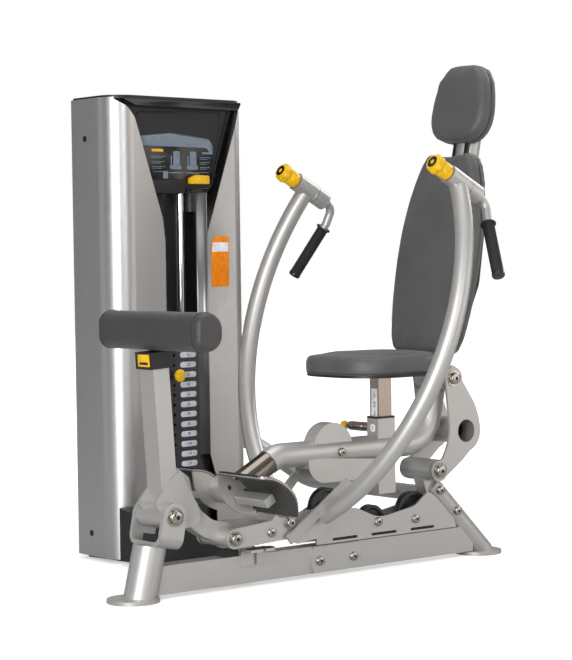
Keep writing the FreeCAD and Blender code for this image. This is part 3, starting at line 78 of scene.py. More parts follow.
class Mat:
    """A small node-graph writer around one Principled shader."""

    def __init__(self, name, color, rough=0.5, metal=0.0, coat=0.0, coat_rough=0.1, spec=0.5):
        self.m = bpy.data.materials.new(name)
        self.m.use_nodes = True
        self.t = self.m.node_tree
        self.b = self.t.nodes["Principled BSDF"]
        self.b.inputs["Base Color"].default_value = (*color, 1)
        self.b.inputs["Roughness"].default_value = rough
        self.b.inputs["Metallic"].default_value = metal
        self.b.inputs["Coat Weight"].default_value = coat
        self.b.inputs["Coat Roughness"].default_value = coat_rough
        self.b.inputs["IOR"].default_value = 1.5
        self.b.inputs["Specular IOR Level"].default_value = spec
        self.m.diffuse_color = (*color, 1)
        tc = self.t.nodes.new("ShaderNodeTexCoord")
        self.obj = tc.outputs["Object"]

    def node(self, kind, **sockets):
        n = self.t.nodes.new(kind)
        for k, v in sockets.items():
            k = k.replace("_", " ")
            if isinstance(v, bpy.types.NodeSocket):
                self.t.links.new(v, n.inputs[k])
            else:
                n.inputs[k].default_value = v
        return n

    def scaled(self, sx, sy, sz):
        n = self.t.nodes.new("ShaderNodeMapping")
        self.t.links.new(self.obj, n.inputs["Vector"])
        n.inputs["Scale"].default_value = (sx, sy, sz)
        return n.outputs["Vector"]

    def noise(self, scale, detail=3.0, rough=0.5, vec=None):
        n = self.t.nodes.new("ShaderNodeTexNoise")
        self.t.links.new(vec or self.obj, n.inputs["Vector"])
        n.inputs["Scale"].default_value = scale
        n.inputs["Detail"].default_value = detail
        n.inputs["Roughness"].default_value = rough
        return n.outputs["Fac"]

    def voronoi(self, scale, feature="F1"):
        n = self.t.nodes.new("ShaderNodeTexVoronoi")
        n.feature = feature
        self.t.links.new(self.obj, n.inputs["Vector"])
        n.inputs["Scale"].default_value = scale
        return n.outputs["Distance"]

    def remap(self, value, lo, hi, a=0.0, b=1.0):
        n = self.t.nodes.new("ShaderNodeMapRange")
        self.t.links.new(value, n.inputs["Value"])
        for key, val in zip(("From Min", "From Max", "To Min", "To Max"), (lo, hi, a, b)):
            n.inputs[key].default_value = val
        return n.outputs["Result"]

    def math(self, op, a, b=0.0):
        n = self.t.nodes.new("ShaderNodeMath")
        n.operation = op
        for i, v in enumerate((a, b)):
            if isinstance(v, bpy.types.NodeSocket):
                self.t.links.new(v, n.inputs[i])
            else:
                n.inputs[i].default_value = v
        return n.outputs[0]

    def mix(self, fac, a, b):
        n = self.t.nodes.new("ShaderNodeMix")
        n.data_type = "RGBA"
        for key, v in ((0, fac), (6, a), (7, b)):
            if isinstance(v, bpy.types.NodeSocket):
                self.t.links.new(v, n.inputs[key])
            elif key == 0:
                n.inputs[0].default_value = v
            else:
                n.inputs[key].default_value = (*v, 1)
        return n.outputs[2]

    def color(self, socket):
        self.t.links.new(socket, self.b.inputs["Base Color"])

    def rough(self, socket):
        self.t.links.new(socket, self.b.inputs["Roughness"])

    def bump(self, height, strength=0.3, distance=0.001, normal=None):
        n = self.t.nodes.new("ShaderNodeBump")
        n.inputs["Strength"].default_value = strength
        n.inputs["Distance"].default_value = distance
        self.t.links.new(height, n.inputs["Height"])
        if normal is not None:
            self.t.links.new(normal, n.inputs["Normal"])
        self.t.links.new(n.outputs["Normal"], self.b.inputs["Normal"])
        return n.outputs["Normal"]


def silver(name, color, rough, grain=0.10, metal=0.85, coat=0.25):
    """Satin metallic powder coat: fine flake, slight orange peel, faint handling marks."""
    k = Mat(name, color, rough, metal, coat, 0.30)
    flake = k.noise(1500, 2, 0.6)
    cloud = k.noise(9, 4, 0.55)
    tint = k.mix(k.remap(flake, 0.3, 0.7), tuple(c * (1 - grain) for c in color),
                 tuple(min(1, c * (1 + grain)) for c in color))
    k.color(k.mix(k.remap(cloud, 0.35, 0.7, 0, 0.12), tint, tuple(c * 0.84 for c in color)))
    k.rough(k.remap(k.noise(38, 5, 0.6), 0.3, 0.75, rough - 0.03, rough + 0.05))
    k.bump(k.noise(300, 2, 0.5), 0.035, 0.0003)
    return k.m


def brushed(name, color, rough, axis_scale, depth=0.14, metal=1.0):
    k = Mat(name, color, rough, metal)
    lines = k.noise(1.0, 4, 0.65, k.scaled(*axis_scale))
    k.color(k.mix(k.remap(lines, 0.3, 0.7), tuple(c * (1 - depth) for c in color),
                  tuple(min(1, c * (1 + depth)) for c in color)))
    k.rough(k.remap(lines, 0.3, 0.7, rough - 0.06, rough + 0.10))
    k.bump(lines, 0.12, 0.0003)
    return k.m


def plastic(name, color, rough, scale=900, depth=0.18, coat=0.0, spec=0.5):
    """Moulded plastic or rubber with a spark-eroded grain."""
    k = Mat(name, color, rough, 0, coat, 0.15, spec=spec)
    cells = k.voronoi(scale)
    soft = k.noise(60, 4, 0.6)
    k.color(k.mix(k.remap(soft, 0.35, 0.7), tuple(c * 0.82 for c in color),
                  tuple(min(1, c * 1.12) for c in color)))
    k.rough(k.remap(soft, 0.3, 0.7, rough - 0.05, rough + 0.08))
    k.bump(cells, depth, 0.0004)
    return k.m


def vinyl(name, color, rough=0.42):
    """Upholstery vinyl: pebbled grain in two sizes with painted shade in its grooves, soft creases and rubbed
    tops.
    """
    k = Mat(name, color, rough, 0, 0.08, 0.35, spec=0.5)
    k.b.inputs["Sheen Weight"].default_value = 0.12
    k.b.inputs["Sheen Roughness"].default_value = 0.5
    pebble = k.voronoi(640, "F1")
    edges = k.voronoi(640, "DISTANCE_TO_EDGE")
    creases = k.noise(34, 5, 0.65)
    broad = k.noise(7, 3, 0.5)
    groove = k.remap(edges, 0.0, 0.12)
    base = k.mix(k.remap(broad, 0.35, 0.68), tuple(c * 0.86 for c in color),
                 tuple(c * 1.14 for c in color))
    # painted shade: the grooves between the pebbles are darkened to 62% of the vinyl colour
    k.color(k.mix(groove, tuple(c * 0.62 for c in color), base))
    k.rough(k.remap(k.math("ADD", k.math("MULTIPLY", creases, 0.6), k.math("MULTIPLY", pebble, 0.5)),
                    0.25, 0.75, rough - 0.05, rough + 0.12))
    n = k.bump(groove, 0.32, 0.00035)
    k.bump(creases, 0.12, 0.0012, n)
    return k.m


def studio_floor():
    """Pale floor that also glows for the camera as painted light, more strongly away from its centre; other
    rays meet a darker grey, so it throws little light back up.
    """
    k = Mat("floor_paint_and_glow", (0.82, 0.82, 0.82), 0.8, spec=0.2)
    k.color(k.mix(k.remap(k.noise(30, 3, 0.5), 0.3, 0.7), (0.80, 0.80, 0.80), (0.84, 0.84, 0.84)))
    k.b.inputs["Emission Color"].default_value = (1, 1, 1, 1)
    path = k.t.nodes.new("ShaderNodeLightPath")
    far = k.node("ShaderNodeVectorMath", Vector=k.obj)
    far.operation = "LENGTH"
    # painted light: camera-only glow, half strength within a metre of the centre and full at five metres
    glow = k.remap(far.outputs["Value"], 1.0, 5.0, 0.50, 1.0)
    k.t.links.new(k.math("MULTIPLY", glow, path.outputs["Is Camera Ray"]), k.b.inputs["Emission Strength"])
    dark = k.t.nodes.new("ShaderNodeBsdfDiffuse")
    dark.inputs["Color"].default_value = (0.52, 0.52, 0.52, 1)
    mix = k.t.nodes.new("ShaderNodeMixShader")
    k.t.links.new(path.outputs["Is Camera Ray"], mix.inputs["Fac"])
    k.t.links.new(dark.outputs[0], mix.inputs[1])
    k.t.links.new(k.b.outputs[0], mix.inputs[2])
    k.t.links.new(mix.outputs[0], k.t.nodes["Material Output"].inputs["Surface"])
    return k.m


M = {}


def make_materials():
    M["silver"] = silver("frame_silver", (0.50, 0.49, 0.475), 0.44, 0.07, 0.72, 0.10)
    M["shroud"] = silver("shroud_silver", (0.50, 0.49, 0.485), 0.36, 0.03, 0.88, 0.06)
    # a darker copy of the shroud silver: painted shade for the sheet's inner side
    M["shroud_painted_shade"] = silver("shroud_painted_shade", (0.20, 0.20, 0.205), 0.36, 0.03, 0.8, 0.05)
    M["black"] = plastic("black_plastic", (0.014, 0.014, 0.0155), 0.42, spec=0.38)
    M["black_gloss"] = plastic("black_gloss", (0.008, 0.008, 0.009), 0.18, 300, 0.03, 0.35, 0.4)
    M["steel_black"] = silver("black_steel", (0.018, 0.018, 0.019), 0.34, 0.15, 0.2, 0.3)
    M["rubber"] = plastic("grip_rubber", (0.02, 0.02, 0.021), 0.62, 1400, 0.35, 0.0, 0.35)
    M["belt"] = plastic("belt_rubber", (0.012, 0.012, 0.013), 0.5, 1800, 0.2)
    M["yellow"] = plastic("yellow_plastic", (0.80, 0.46, 0.002), 0.32, 700, 0.06, 0.12, 0.35)
    M["chrome"] = brushed("chrome", (0.72, 0.72, 0.73), 0.09, (30, 30, 4), 0.03)
    M["stainless"] = brushed("stainless", (0.42, 0.39, 0.355), 0.13, (900, 900, 900), 0.10)
    M["sleeve"] = brushed("dark_sleeve", (0.20, 0.175, 0.15), 0.13, (40, 500, 500), 0.12)
    M["post"] = brushed("brushed_post", (0.36, 0.30, 0.26), 0.24, (1400, 1400, 18), 0.2)
    M["nylon"] = plastic("pulley_nylon", (0.018, 0.018, 0.02), 0.33, 500, 0.05)
    M["vinyl"] = vinyl("seat_vinyl", (0.080, 0.080, 0.083))
    M["vinyl_dark"] = vinyl("cushion_vinyl", (0.034, 0.032, 0.032), 0.40)
    M["piping"] = vinyl("piping_vinyl", (0.018, 0.018, 0.019), 0.45)
    M["white"] = plastic("label_white", (0.80, 0.80, 0.83), 0.4, 200, 0.01)
    M["lilac"] = plastic("label_lilac", (0.60, 0.60, 0.68), 0.35, 200, 0.01)
    M["grey_blue"] = plastic("label_blue_grey", (0.16, 0.20, 0.25), 0.35, 200, 0.01)
    M["orange"] = plastic("label_orange", (0.86, 0.235, 0.002), 0.45, 200, 0.01, 0.0, 0.2)
    # near-black laid in the bolts' hex sockets as painted shade
    M["dark_hole"] = plastic("socket_shade_black", (0.006, 0.006, 0.006), 0.7)
    M["floor"] = studio_floor()
    M["tread"] = tread_silver_painted_shade()


def tread_silver_painted_shade():
    """Foot plates: the frame's silver outside, with painted shade on their hollow side."""
    k = Mat("tread_silver_painted_shade", (0.50, 0.49, 0.475), 0.42, 0.75, 0.1, 0.3)
    at = k.t.nodes.new("ShaderNodeSeparateXYZ")
    k.t.links.new(k.obj, at.inputs[0])
    dy = k.math("SUBTRACT", at.outputs["Y"], TREAD_Y / 1000 + SY)
    dz = k.math("SUBTRACT", at.outputs["Z"], TREAD_Z / 1000)
    far = k.math("SQRT", k.math("ADD", k.math("MULTIPLY", dy, dy), k.math("MULTIPLY", dz, dz)))
    # painted shade: within 132.5 mm of the curve's axis, on the hollow side, the silver turns dark grey
    k.color(k.mix(k.remap(far, 0.1325, 0.1338), (0.10, 0.098, 0.095), (0.50, 0.49, 0.475)))
    k.bump(k.noise(300, 2, 0.5), 0.035, 0.0003)
    return k.m


NODE_MATERIAL = {
    "silver": ["base_feet", "yoke", "front_post", "base_rails", "rail_brackets", "pulley_side_plates",
               "rear_post", "brace_tube", "front_arm_hub", "front_upright", "lower_arm",
               "crank_plates", "press_arm_tubes", "right_handle", "left_handle", "carriage_hubs",
               "main_tube", "tube_housings", "tread_brackets", "seat_sleeve", "link_plates",
               "handle_sleeves"],
    "tread": ["foot_treads"],
    "shroud": ["left_shroud", "right_shroud", "back_panel"],
    "black": ["cross_cover", "top_hood", "pad_collar", "seat_pan", "back_board"],
    "steel_black": ["tower_frame", "add_weight", "lower_weight_plates", "lifted_weight_plates"],
    "chrome": ["guide_rods", "selector_stem"],
    "sleeve": ["chrome_tube"],
    "stainless": ["base_fasteners", "link_fasteners", "arm_fasteners", "carriage_fasteners"],
    "post": ["seat_post", "seat_pull_pin"],
    "yellow": ["selector_pin", "right_knob", "left_knob"],
    "nylon": ["top_pulley", "arm_pulley", "base_pulley_front", "base_pulley_rear"],
    "belt": ["lifting_belt"],
    "rubber": ["right_grip", "left_grip", "tread_rubbers", "rubber_stops"],
    "vinyl": ["seat_pad", "back_pad", "headrest"],
    "vinyl_dark": ["front_pad"],
}


def dress_nodes():
    for key, names in NODE_MATERIAL.items():
        for name in names:
            obj = NODE[name]
            obj.data.materials.clear()
            obj.data.materials.append(M[key])
            if name not in ("lifting_belt", "tread_rubbers"):
                bevel = obj.modifiers.new("soft_edges", "BEVEL")
                bevel.width, bevel.segments = 0.0009, 2
                bevel.limit_method, bevel.angle_limit = "ANGLE", math.radians(38)
                bevel.harden_normals = False


# ---- light and floor

def make_stage():
    scene = bpy.context.scene
    scene.view_settings.view_transform = "Standard"
    world = bpy.data.worlds.new("studio")
    scene.world = world
    world.use_nodes = True
    t = world.node_tree
    t.nodes.clear()
    kinds = ("OutputWorld", "MixShader", "LightPath", "Background", "Background", "TexCoord",
             "SeparateXYZ", "ValToRGB", "MapRange")
    out, mix, path, seen, lit, tc, sep, ramp, rng = [t.nodes.new("ShaderNode" + kind) for kind in kinds]
    seen.inputs["Color"].default_value = (1, 1, 1, 1)
    seen.inputs["Strength"].default_value = 1.0
    t.links.new(tc.outputs["Generated"], sep.inputs[0])
    rng.inputs["From Min"].default_value, rng.inputs["From Max"].default_value = -1, 1
    t.links.new(sep.outputs["Z"], rng.inputs["Value"])
    t.links.new(rng.outputs["Result"], ramp.inputs["Fac"])
    stops = ramp.color_ramp.elements
    stops[0].color = (0.55, 0.55, 0.55, 1)
    stops[1].color = (1.0, 1.0, 1.0, 1)
    for place, grey in ((0.48, 0.20), (0.60, 0.16), (0.78, 0.45)):
        stops.new(place).color = (grey, grey, grey * 1.01, 1)
    t.links.new(ramp.outputs["Color"], lit.inputs["Color"])
    lit.inputs["Strength"].default_value = 0.68
    t.links.new(path.outputs["Is Camera Ray"], mix.inputs["Fac"])
    t.links.new(lit.outputs[0], mix.inputs[1])
    t.links.new(seen.outputs[0], mix.inputs[2])
    t.links.new(mix.outputs[0], out.inputs["Surface"])

    mesh = bpy.data.meshes.new("floor")
    reach, below = 14.0, -0.0006
    mesh.from_pydata([(-reach, -reach, below), (reach, -reach, below), (reach, reach, below),
                      (-reach, reach, below)], [], [(0, 1, 2, 3)])
    floor = bpy.data.objects.new("floor", mesh)
    scene.collection.objects.link(floor)
    mesh.materials.append(M["floor"])

    def area(name, loc, target, size, power, color=(1, 1, 1)):
        data = bpy.data.lights.new(name, "AREA")
        data.shape, data.energy, data.color = "RECTANGLE", power, color
        data.size, data.size_y = size
        obj = bpy.data.objects.new(name, data)
        scene.collection.objects.link(obj)
        obj.location = loc
        obj.rotation_euler = (Vector(target) - Vector(loc)).to_track_quat("-Z", "Y").to_euler()

    area("key", (2.4, -3.7, 1.4), (-0.2, 0, 0.7), (1.3, 2.8), 160)
    area("side", (3.6, 3.2, 1.35), (0, 0, 0.7), (3.6, 3.0), 50, (1.0, 0.95, 0.90))
    area("fill", (4.4, -1.0, 1.9), (-0.2, 0, 0.7), (1.4, 2.2), 42)
    area("top", (0.3, 0.2, 4.4), (0, 0, 0.5), (2.6, 2.6), 46)
    area("left", (-3.0, -3.6, 1.3), (-0.4, -0.2, 0.7), (2.8, 2.8), 9, (0.94, 0.95, 1.0))
    area("back", (-0.6, 4.2, 2.6), (0, 0, 0.9), (2.4, 1.8), 60)


# ---- mesh builders

def add_mesh(name, verts, faces, mat, body, auto=35.0):
    mesh = bpy.data.meshes.new(name)
    mesh.from_pydata([tuple(v) for v in verts], [], faces)
    mesh.validate()
    bm = bmesh.new()
    bm.from_mesh(mesh)
    bmesh.ops.remove_doubles(bm, verts=bm.verts, dist=1e-7)
    bmesh.ops.recalc_face_normals(bm, faces=bm.faces)
    for f in bm.faces:
        f.smooth = True
    for e in bm.edges:
        if len(e.link_faces) == 2 and e.calc_face_angle(0) > math.radians(auto):
            e.smooth = False
    bm.to_mesh(mesh)
    bm.free()
    obj = bpy.data.objects.new(name, mesh)
    bpy.context.scene.collection.objects.link(obj)
    mesh.materials.append(mat)
    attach(obj, body)
    return obj


def basis(direction):
    """Two unit vectors across a direction, and the direction itself."""
    d = Vector(direction).normalized()
    hint = Vector((1, 0, 0)) if abs(d.z) > 0.95 else Vector((0, 0, 1))
    a = hint.cross(d).normalized()
    return a, d.cross(a), d


def lathe(name, origin, direction, profile, mat, body, steps, lobes=0, lobe_depth=0.0,
          lobe_from=0.0, lobe_to=0.0, auto=30.0):
    """Turned piece: profile of (distance along, radius) in millimetres about a direction."""
    a, b, d = basis(direction)
    verts, faces = [], []
    for u, r in profile:
        for i in range(steps):
            ang = 2 * math.pi * i / steps
            rr = r
            if lobes and lobe_from <= u <= lobe_to and r > 0:
                rr = r - lobe_depth * (0.5 + 0.5 * math.cos(lobes * ang)) ** 2
            out = a * math.cos(ang) + b * math.sin(ang)
            verts.append(Vector(origin) + d * (u / 1000) + out * (rr / 1000))
    n = len(profile)
    for k in range(n - 1):
        for i in range(steps):
            j = (i + 1) % steps
            faces.append((k * steps + i, k * steps + j, (k + 1) * steps + j, (k + 1) * steps + i))
    faces.append(tuple(range(steps - 1, -1, -1)))
    faces.append(tuple((n - 1) * steps + i for i in range(steps)))
    return add_mesh(name, verts, faces, mat, body, auto=auto)


def slab(name, outline, axes, thick, mat, body, bevel):
    """A thin plate with softened edges: outline in millimetres on (origin, u, v) axes."""
    o, u, v = axes
    u, v = Vector(u).normalized(), Vector(v).normalized()
    w = u.cross(v).normalized()
    bm = bmesh.new()
    low = [bm.verts.new(Vector(o) + u * (x / 1000) + v * (y / 1000)) for x, y in outline]
    face = bm.faces.new(low)
    ext = bmesh.ops.extrude_face_region(bm, geom=[face])
    top = [g for g in ext["geom"] if isinstance(g, bmesh.types.BMVert)]
    bmesh.ops.translate(bm, verts=top, vec=w * (thick / 1000))
    bmesh.ops.recalc_face_normals(bm, faces=bm.faces)
    if bevel > 0:
        edges = [e for e in bm.edges if e.calc_face_angle(0) > 0.6]
        bmesh.ops.bevel(bm, geom=edges, offset=bevel / 1000, segments=2, affect="EDGES", profile=0.6)
    verts = [x.co.copy() for x in bm.verts]
    bm.verts.index_update()
    faces = [tuple(x.index for x in f.verts) for f in bm.faces]
    bm.free()
    return add_mesh(name, verts, faces, mat, body)


def fillet(points, steps=6):
    """Polygon of (x, y, radius) with its corners rounded."""
    out = []
    n = len(points)
    for i in range(n):
        x, y, r = points[i]
        p = Vector((x, y))
        a = (Vector(points[i - 1][:2]) - p)
        b = (Vector(points[(i + 1) % n][:2]) - p)
        if r <= 0:
            out.append((x, y))
            continue
        a.normalize()
        b.normalize()
        ang = a.angle(b)
        if abs(ang - math.pi) < 1e-3:
            out.append((x, y))
            continue
        reach = r / math.tan(ang / 2)
        c = p + (a + b).normalized() * (r / math.sin(ang / 2))
        s, e = p + a * reach - c, p + b * reach - c
        turn = s.angle_signed(e)
        for k in range(steps + 1):
            t = -turn * k / steps
            q = Vector((s.x * math.cos(t) - s.y * math.sin(t), s.x * math.sin(t) + s.y * math.cos(t)))
            out.append(tuple(c + q))
    return out


def wire(name, points, radius, mat, body, cyclic=False):
    """A round bead along points in metres."""
    curve = bpy.data.curves.new(name, "CURVE")
    curve.dimensions = "3D"
    curve.bevel_depth, curve.bevel_resolution = radius, 3
    curve.use_fill_caps = True
    spline = curve.splines.new("POLY")
    spline.points.add(len(points) - 1)
    for p, q in zip(spline.points, points):
        p.co = (*q, 1)
    spline.use_cyclic_u = cyclic
    obj = bpy.data.objects.new(name, curve)
    bpy.context.scene.collection.objects.link(obj)
    obj.data.materials.append(mat)
    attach(obj, body)


def digits(name, text, origin, u, v, size, mat, body):
    """Plain numbers lying on a face."""
    curve = bpy.data.curves.new(name, "FONT")
    curve.body, curve.size = text, size
    curve.align_x, curve.align_y = "CENTER", "CENTER"
    curve.extrude = 0.00015
    obj = bpy.data.objects.new(name, curve)
    bpy.context.scene.collection.objects.link(obj)
    u, v = Vector(u).normalized(), Vector(v).normalized()
    m = Matrix((u, v, u.cross(v))).transposed().to_4x4()
    m.translation = origin
    obj.matrix_world = m
    curve.materials.append(mat)
    bpy.context.view_layer.update()
    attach(obj, body)


# ---- upholstery

def superpad(name, half_width, z0, z1, thick, place, body, edge=20.0, crown=8.0, rings=26, cols=34,
             sag=2.5, seed=1, seam_at=0.45, back_round=8.0, pull=2.0):
    """A sewn cushion, and the points of its seam. half_width(v) gives the outline's half width at
    each height; the front is crowned, the edges roll over, and the sides tuck in at the seam.

    place(x, depth, height) maps millimetres to the machine: depth 0 is the crown, growing inward."""
    rows = []
    for j in range(rings + 1):
        t = 0.5 - 0.5 * math.cos(math.pi * j / rings)
        v = z0 + (z1 - z0) * t
        rows.append((v, half_width(v)))
    verts, faces = [], []

    def front(x, v, hw):
        """Depth of the crowned front at a point, in millimetres."""
        ex = max(0.0, 1.0 - (abs(x) / max(hw, 1e-6)) ** 2.6)
        ev_low = min(1.0, max(0.0, (v - z0) / edge))
        ev_top = min(1.0, max(0.0, (z1 - v) / edge))
        ev = (1 - (1 - ev_low) ** 2.4) * (1 - (1 - ev_top) ** 2.4)
        mid = 1.0 - ((v - (z0 + z1) / 2) / ((z1 - z0) / 2)) ** 2
        dome = crown * max(0.0, 1 - (x / hw) ** 2) * (0.45 + 0.55 * max(0.0, mid))
        dist = max(0.0, hw - abs(x))
        roll = edge * (1 - math.sqrt(max(0.0, 1 - (1 - min(1.0, dist / edge)) ** 2)))
        dv = min(v - z0, z1 - v)
        roll_v = edge * (1 - math.sqrt(max(0.0, 1 - (1 - min(1.0, max(0.0, dv) / edge)) ** 2)))
        wave = sag * noise.noise(Vector((x * 0.011, v * 0.010, seed * 3.7)))
        fine = 0.5 * noise.noise(Vector((x * 0.05, v * 0.05, seed * 9.1)))
        return crown - dome + max(roll, roll_v) + (wave + fine) * ex * ev

    grid_front = {}
    for j, (v, hw) in enumerate(rows):
        for i in range(cols + 1):
            s = -math.cos(math.pi * i / cols)
            x = hw * s
            d = front(x, v, hw) if 0 < j < rings and 0 < i < cols else crown + edge
            grid_front[j, i] = len(verts)
            verts.append(place(x, min(d, crown + edge), v))
    ring = ([(0, i) for i in range(cols + 1)] + [(j, cols) for j in range(1, rings + 1)]
            + [(rings, i) for i in range(cols - 1, -1, -1)] + [(j, 0) for j in range(rings - 1, 0, -1)])
    for j in range(rings):
        for i in range(cols):
            faces.append((grid_front[j, i], grid_front[j, i + 1], grid_front[j + 1, i + 1],
                          grid_front[j + 1, i]))
    depth0 = crown + edge
    levels = sorted([lv for lv in (0.12, 0.3, 0.5, 0.65, 0.8, 0.93, 1.0) if abs(lv - seam_at) > 0.03]
                    + [seam_at - 0.02, seam_at, seam_at + 0.02])
    last = [grid_front[k] for k in ring]
    cy = (z0 + z1) / 2
    seam_loop = []
    for lv in levels:
        depth = depth0 + (thick - depth0) * lv
        puff = math.sin(math.pi * min(1.0, lv / seam_at)) if lv < seam_at else \
            math.sin(math.pi * min(1.0, (lv - seam_at) / (1.0001 - seam_at))) * 0.6
        row = []
        for (j, i) in ring:
            v, hw = rows[j]
            x = hw * -math.cos(math.pi * i / cols)
            out = Vector((x / max(hw, 60.0) * 0.8, (v - cy) / ((z1 - z0) / 2)))
            if out.length > 1e-6:
                out.normalize()
            amount = puff * 1.6 - (pull if abs(lv - seam_at) < 0.005 else 0.0) - (back_round
                     if lv >= 0.999 else 0.0) - pull * 0.3
            row.append(len(verts))
            verts.append(place(x + out.x * amount, depth, v + out.y * amount))
            if lv == seam_at:
                seam_loop.append(verts[-1])
        count = len(ring)
        for k in range(count):
            faces.append((last[k], last[(k + 1) % count], row[(k + 1) % count], row[k]))
        last = row
    faces.append(tuple(last))
    obj = add_mesh(name, verts, faces, M["vinyl"], body, auto=180)
    return obj, seam_loop


def inflate(obj, cap=3.0, pressure=3.0, frames=14):
    """Lets the cover swell against its foam with a short cloth simulation, then caps the move."""
    me = obj.data
    start = [v.co.copy() for v in me.vertices]
    mod = obj.modifiers.new("cover", "CLOTH")
    st = mod.settings
    st.use_pressure = True
    st.uniform_pressure_force = pressure
    st.effector_weights.gravity = 0
    st.quality = 5
    st.tension_stiffness, st.compression_stiffness, st.bending_stiffness = 25, 25, 0.6
    st.mass = 0.4
    mod.collision_settings.use_self_collision = False
    mod.point_cache.frame_start, mod.point_cache.frame_end = 1, frames + 1
    scene = bpy.context.scene
    for f in range(1, frames + 1):
        scene.frame_set(f)
    dg = bpy.context.evaluated_depsgraph_get()
    ev = obj.evaluated_get(dg)
    moved = [v.co.copy() for v in ev.data.vertices]
    obj.modifiers.remove(mod)
    scene.frame_set(1)
    if len(moved) == len(start):
        for v, a, b in zip(me.vertices, start, moved):
            move = b - a
            if move.length > cap / 1000:
                move *= cap / 1000 / move.length
            v.co = a + move
    me.update()


# ---- lay-out of regions

TURN = math.radians(6.5)
TN = Vector((math.cos(TURN), math.sin(TURN), 0))
TE = Vector((-math.sin(TURN), math.cos(TURN), 0))


def tower(t, depth, z):
    """A point of the weight tower: along its face, behind its face, and up."""
    return P(-545.0, 401.0, z) + TE * (t / 1000) - TN * (depth / 1000)


RECLINE = math.radians(12.1)
SPINE = Vector((0, math.sin(RECLINE), math.cos(RECLINE)))
INTO = Vector((0, math.cos(RECLINE), -math.sin(RECLINE)))


def table(points):
    """Smooth curve through (position, value) pairs."""
    def at(v):
        if v <= points[0][0]:
            return points[0][1]
        for (a, fa), (b, fb), k in zip(points, points[1:], range(len(points))):
            if v <= b:
                t = (v - a) / (b - a)
                pa = points[k - 1][1] if k > 0 else fa
                pb = points[k + 2][1] if k + 2 < len(points) else fb
                ma, mb = (fb - pa) / 2, (pb - fa) / 2
                return ((2 * t ** 3 - 3 * t ** 2 + 1) * fa + (t ** 3 - 2 * t ** 2 + t) * ma
                        + (-2 * t ** 3 + 3 * t ** 2) * fb + (t ** 3 - t ** 2) * mb)
        return points[-1][1]
    return at


def cushion(word, node, fill, half_width, z0, z1, thick, place, body, **shape):
    """A padded piece that stands for a CAD node, with a bead along its seam."""
    obj, seam = superpad(word + "_cushion", half_width, z0, z1, thick, place, body, **shape)
    inflate(obj)
    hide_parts(node)
    wire(word + "_piping", seam, 0.0016, M["piping"], body, True)


def make_upholstery():
    # seat: a rounded square, broad corners at the front
    def seat_half(v):
        r0, r1 = 138.0, 108.0
        if v < SEAT_Y0 + r0:
            return SEAT_HALF - r0 + math.sqrt(max(0.0, r0 * r0 - (SEAT_Y0 + r0 - v) ** 2))
        if v > SEAT_Y1 - r1:
            return SEAT_HALF - r1 + math.sqrt(max(0.0, r1 * r1 - (v - SEAT_Y1 + r1) ** 2))
        return SEAT_HALF

    def seat_place(x, depth, v):
        return P(x, v, SEAT_TOP - depth)

    cushion("seat", "seat_pad", 0.75, seat_half, SEAT_Y0 + 1, SEAT_Y1 - 1, 58.1, seat_place, "seat",
            crown=9, seam_at=0.88, seed=2)

    # back pad: broad waist, two soft shoulders at the top
    back_half = table([(0, 78), (8, 108), (19, 124), (50, 138), (96, 147), (182, 157), (270, 161),
                       (362, 159), (449, 147), (510, 131), (560, 113), (590, 94), (600, 76)])
    spine_foot = P(0, SPINE_Y, SPINE_Z)

    def back_place(x, depth, v):
        dip = 11.0 * max(0.0, math.cos(min(1.0, abs(x) / 80.0) * math.pi / 2)) * \
            max(0.0, min(1.0, (v - 440) / 160)) ** 2
        across = Vector((x / 1000, 0, 0))
        return spine_foot + across + SPINE * ((v - dip) / 1000) + INTO * (depth / 1000)

    cushion("back", "back_pad", 0.75, back_half, 1.0, 601.0, 56.6, back_place, "carriage", edge=19,
            crown=7, rings=44, seed=5)

    head_half = table([(0, 40), (5, 62), (14, 82), (30, 100), (58, 113), (92, 116), (140, 110),
                       (185, 97), (212, 80), (226, 63), (233, 46), (236, 32)])
    head_foot = spine_foot + SPINE * 0.628 + Vector((0, 0.012, 0.004))

    def head_place(x, depth, v):
        return head_foot + Vector((x / 1000, 0, 0)) + SPINE * (v / 1000) + INTO * (depth / 1000)

    cushion("head", "headrest", 0.8, head_half, 0.8, 235.0, 61.6, head_place, "carriage",
            seam_at=0.42, seed=9)


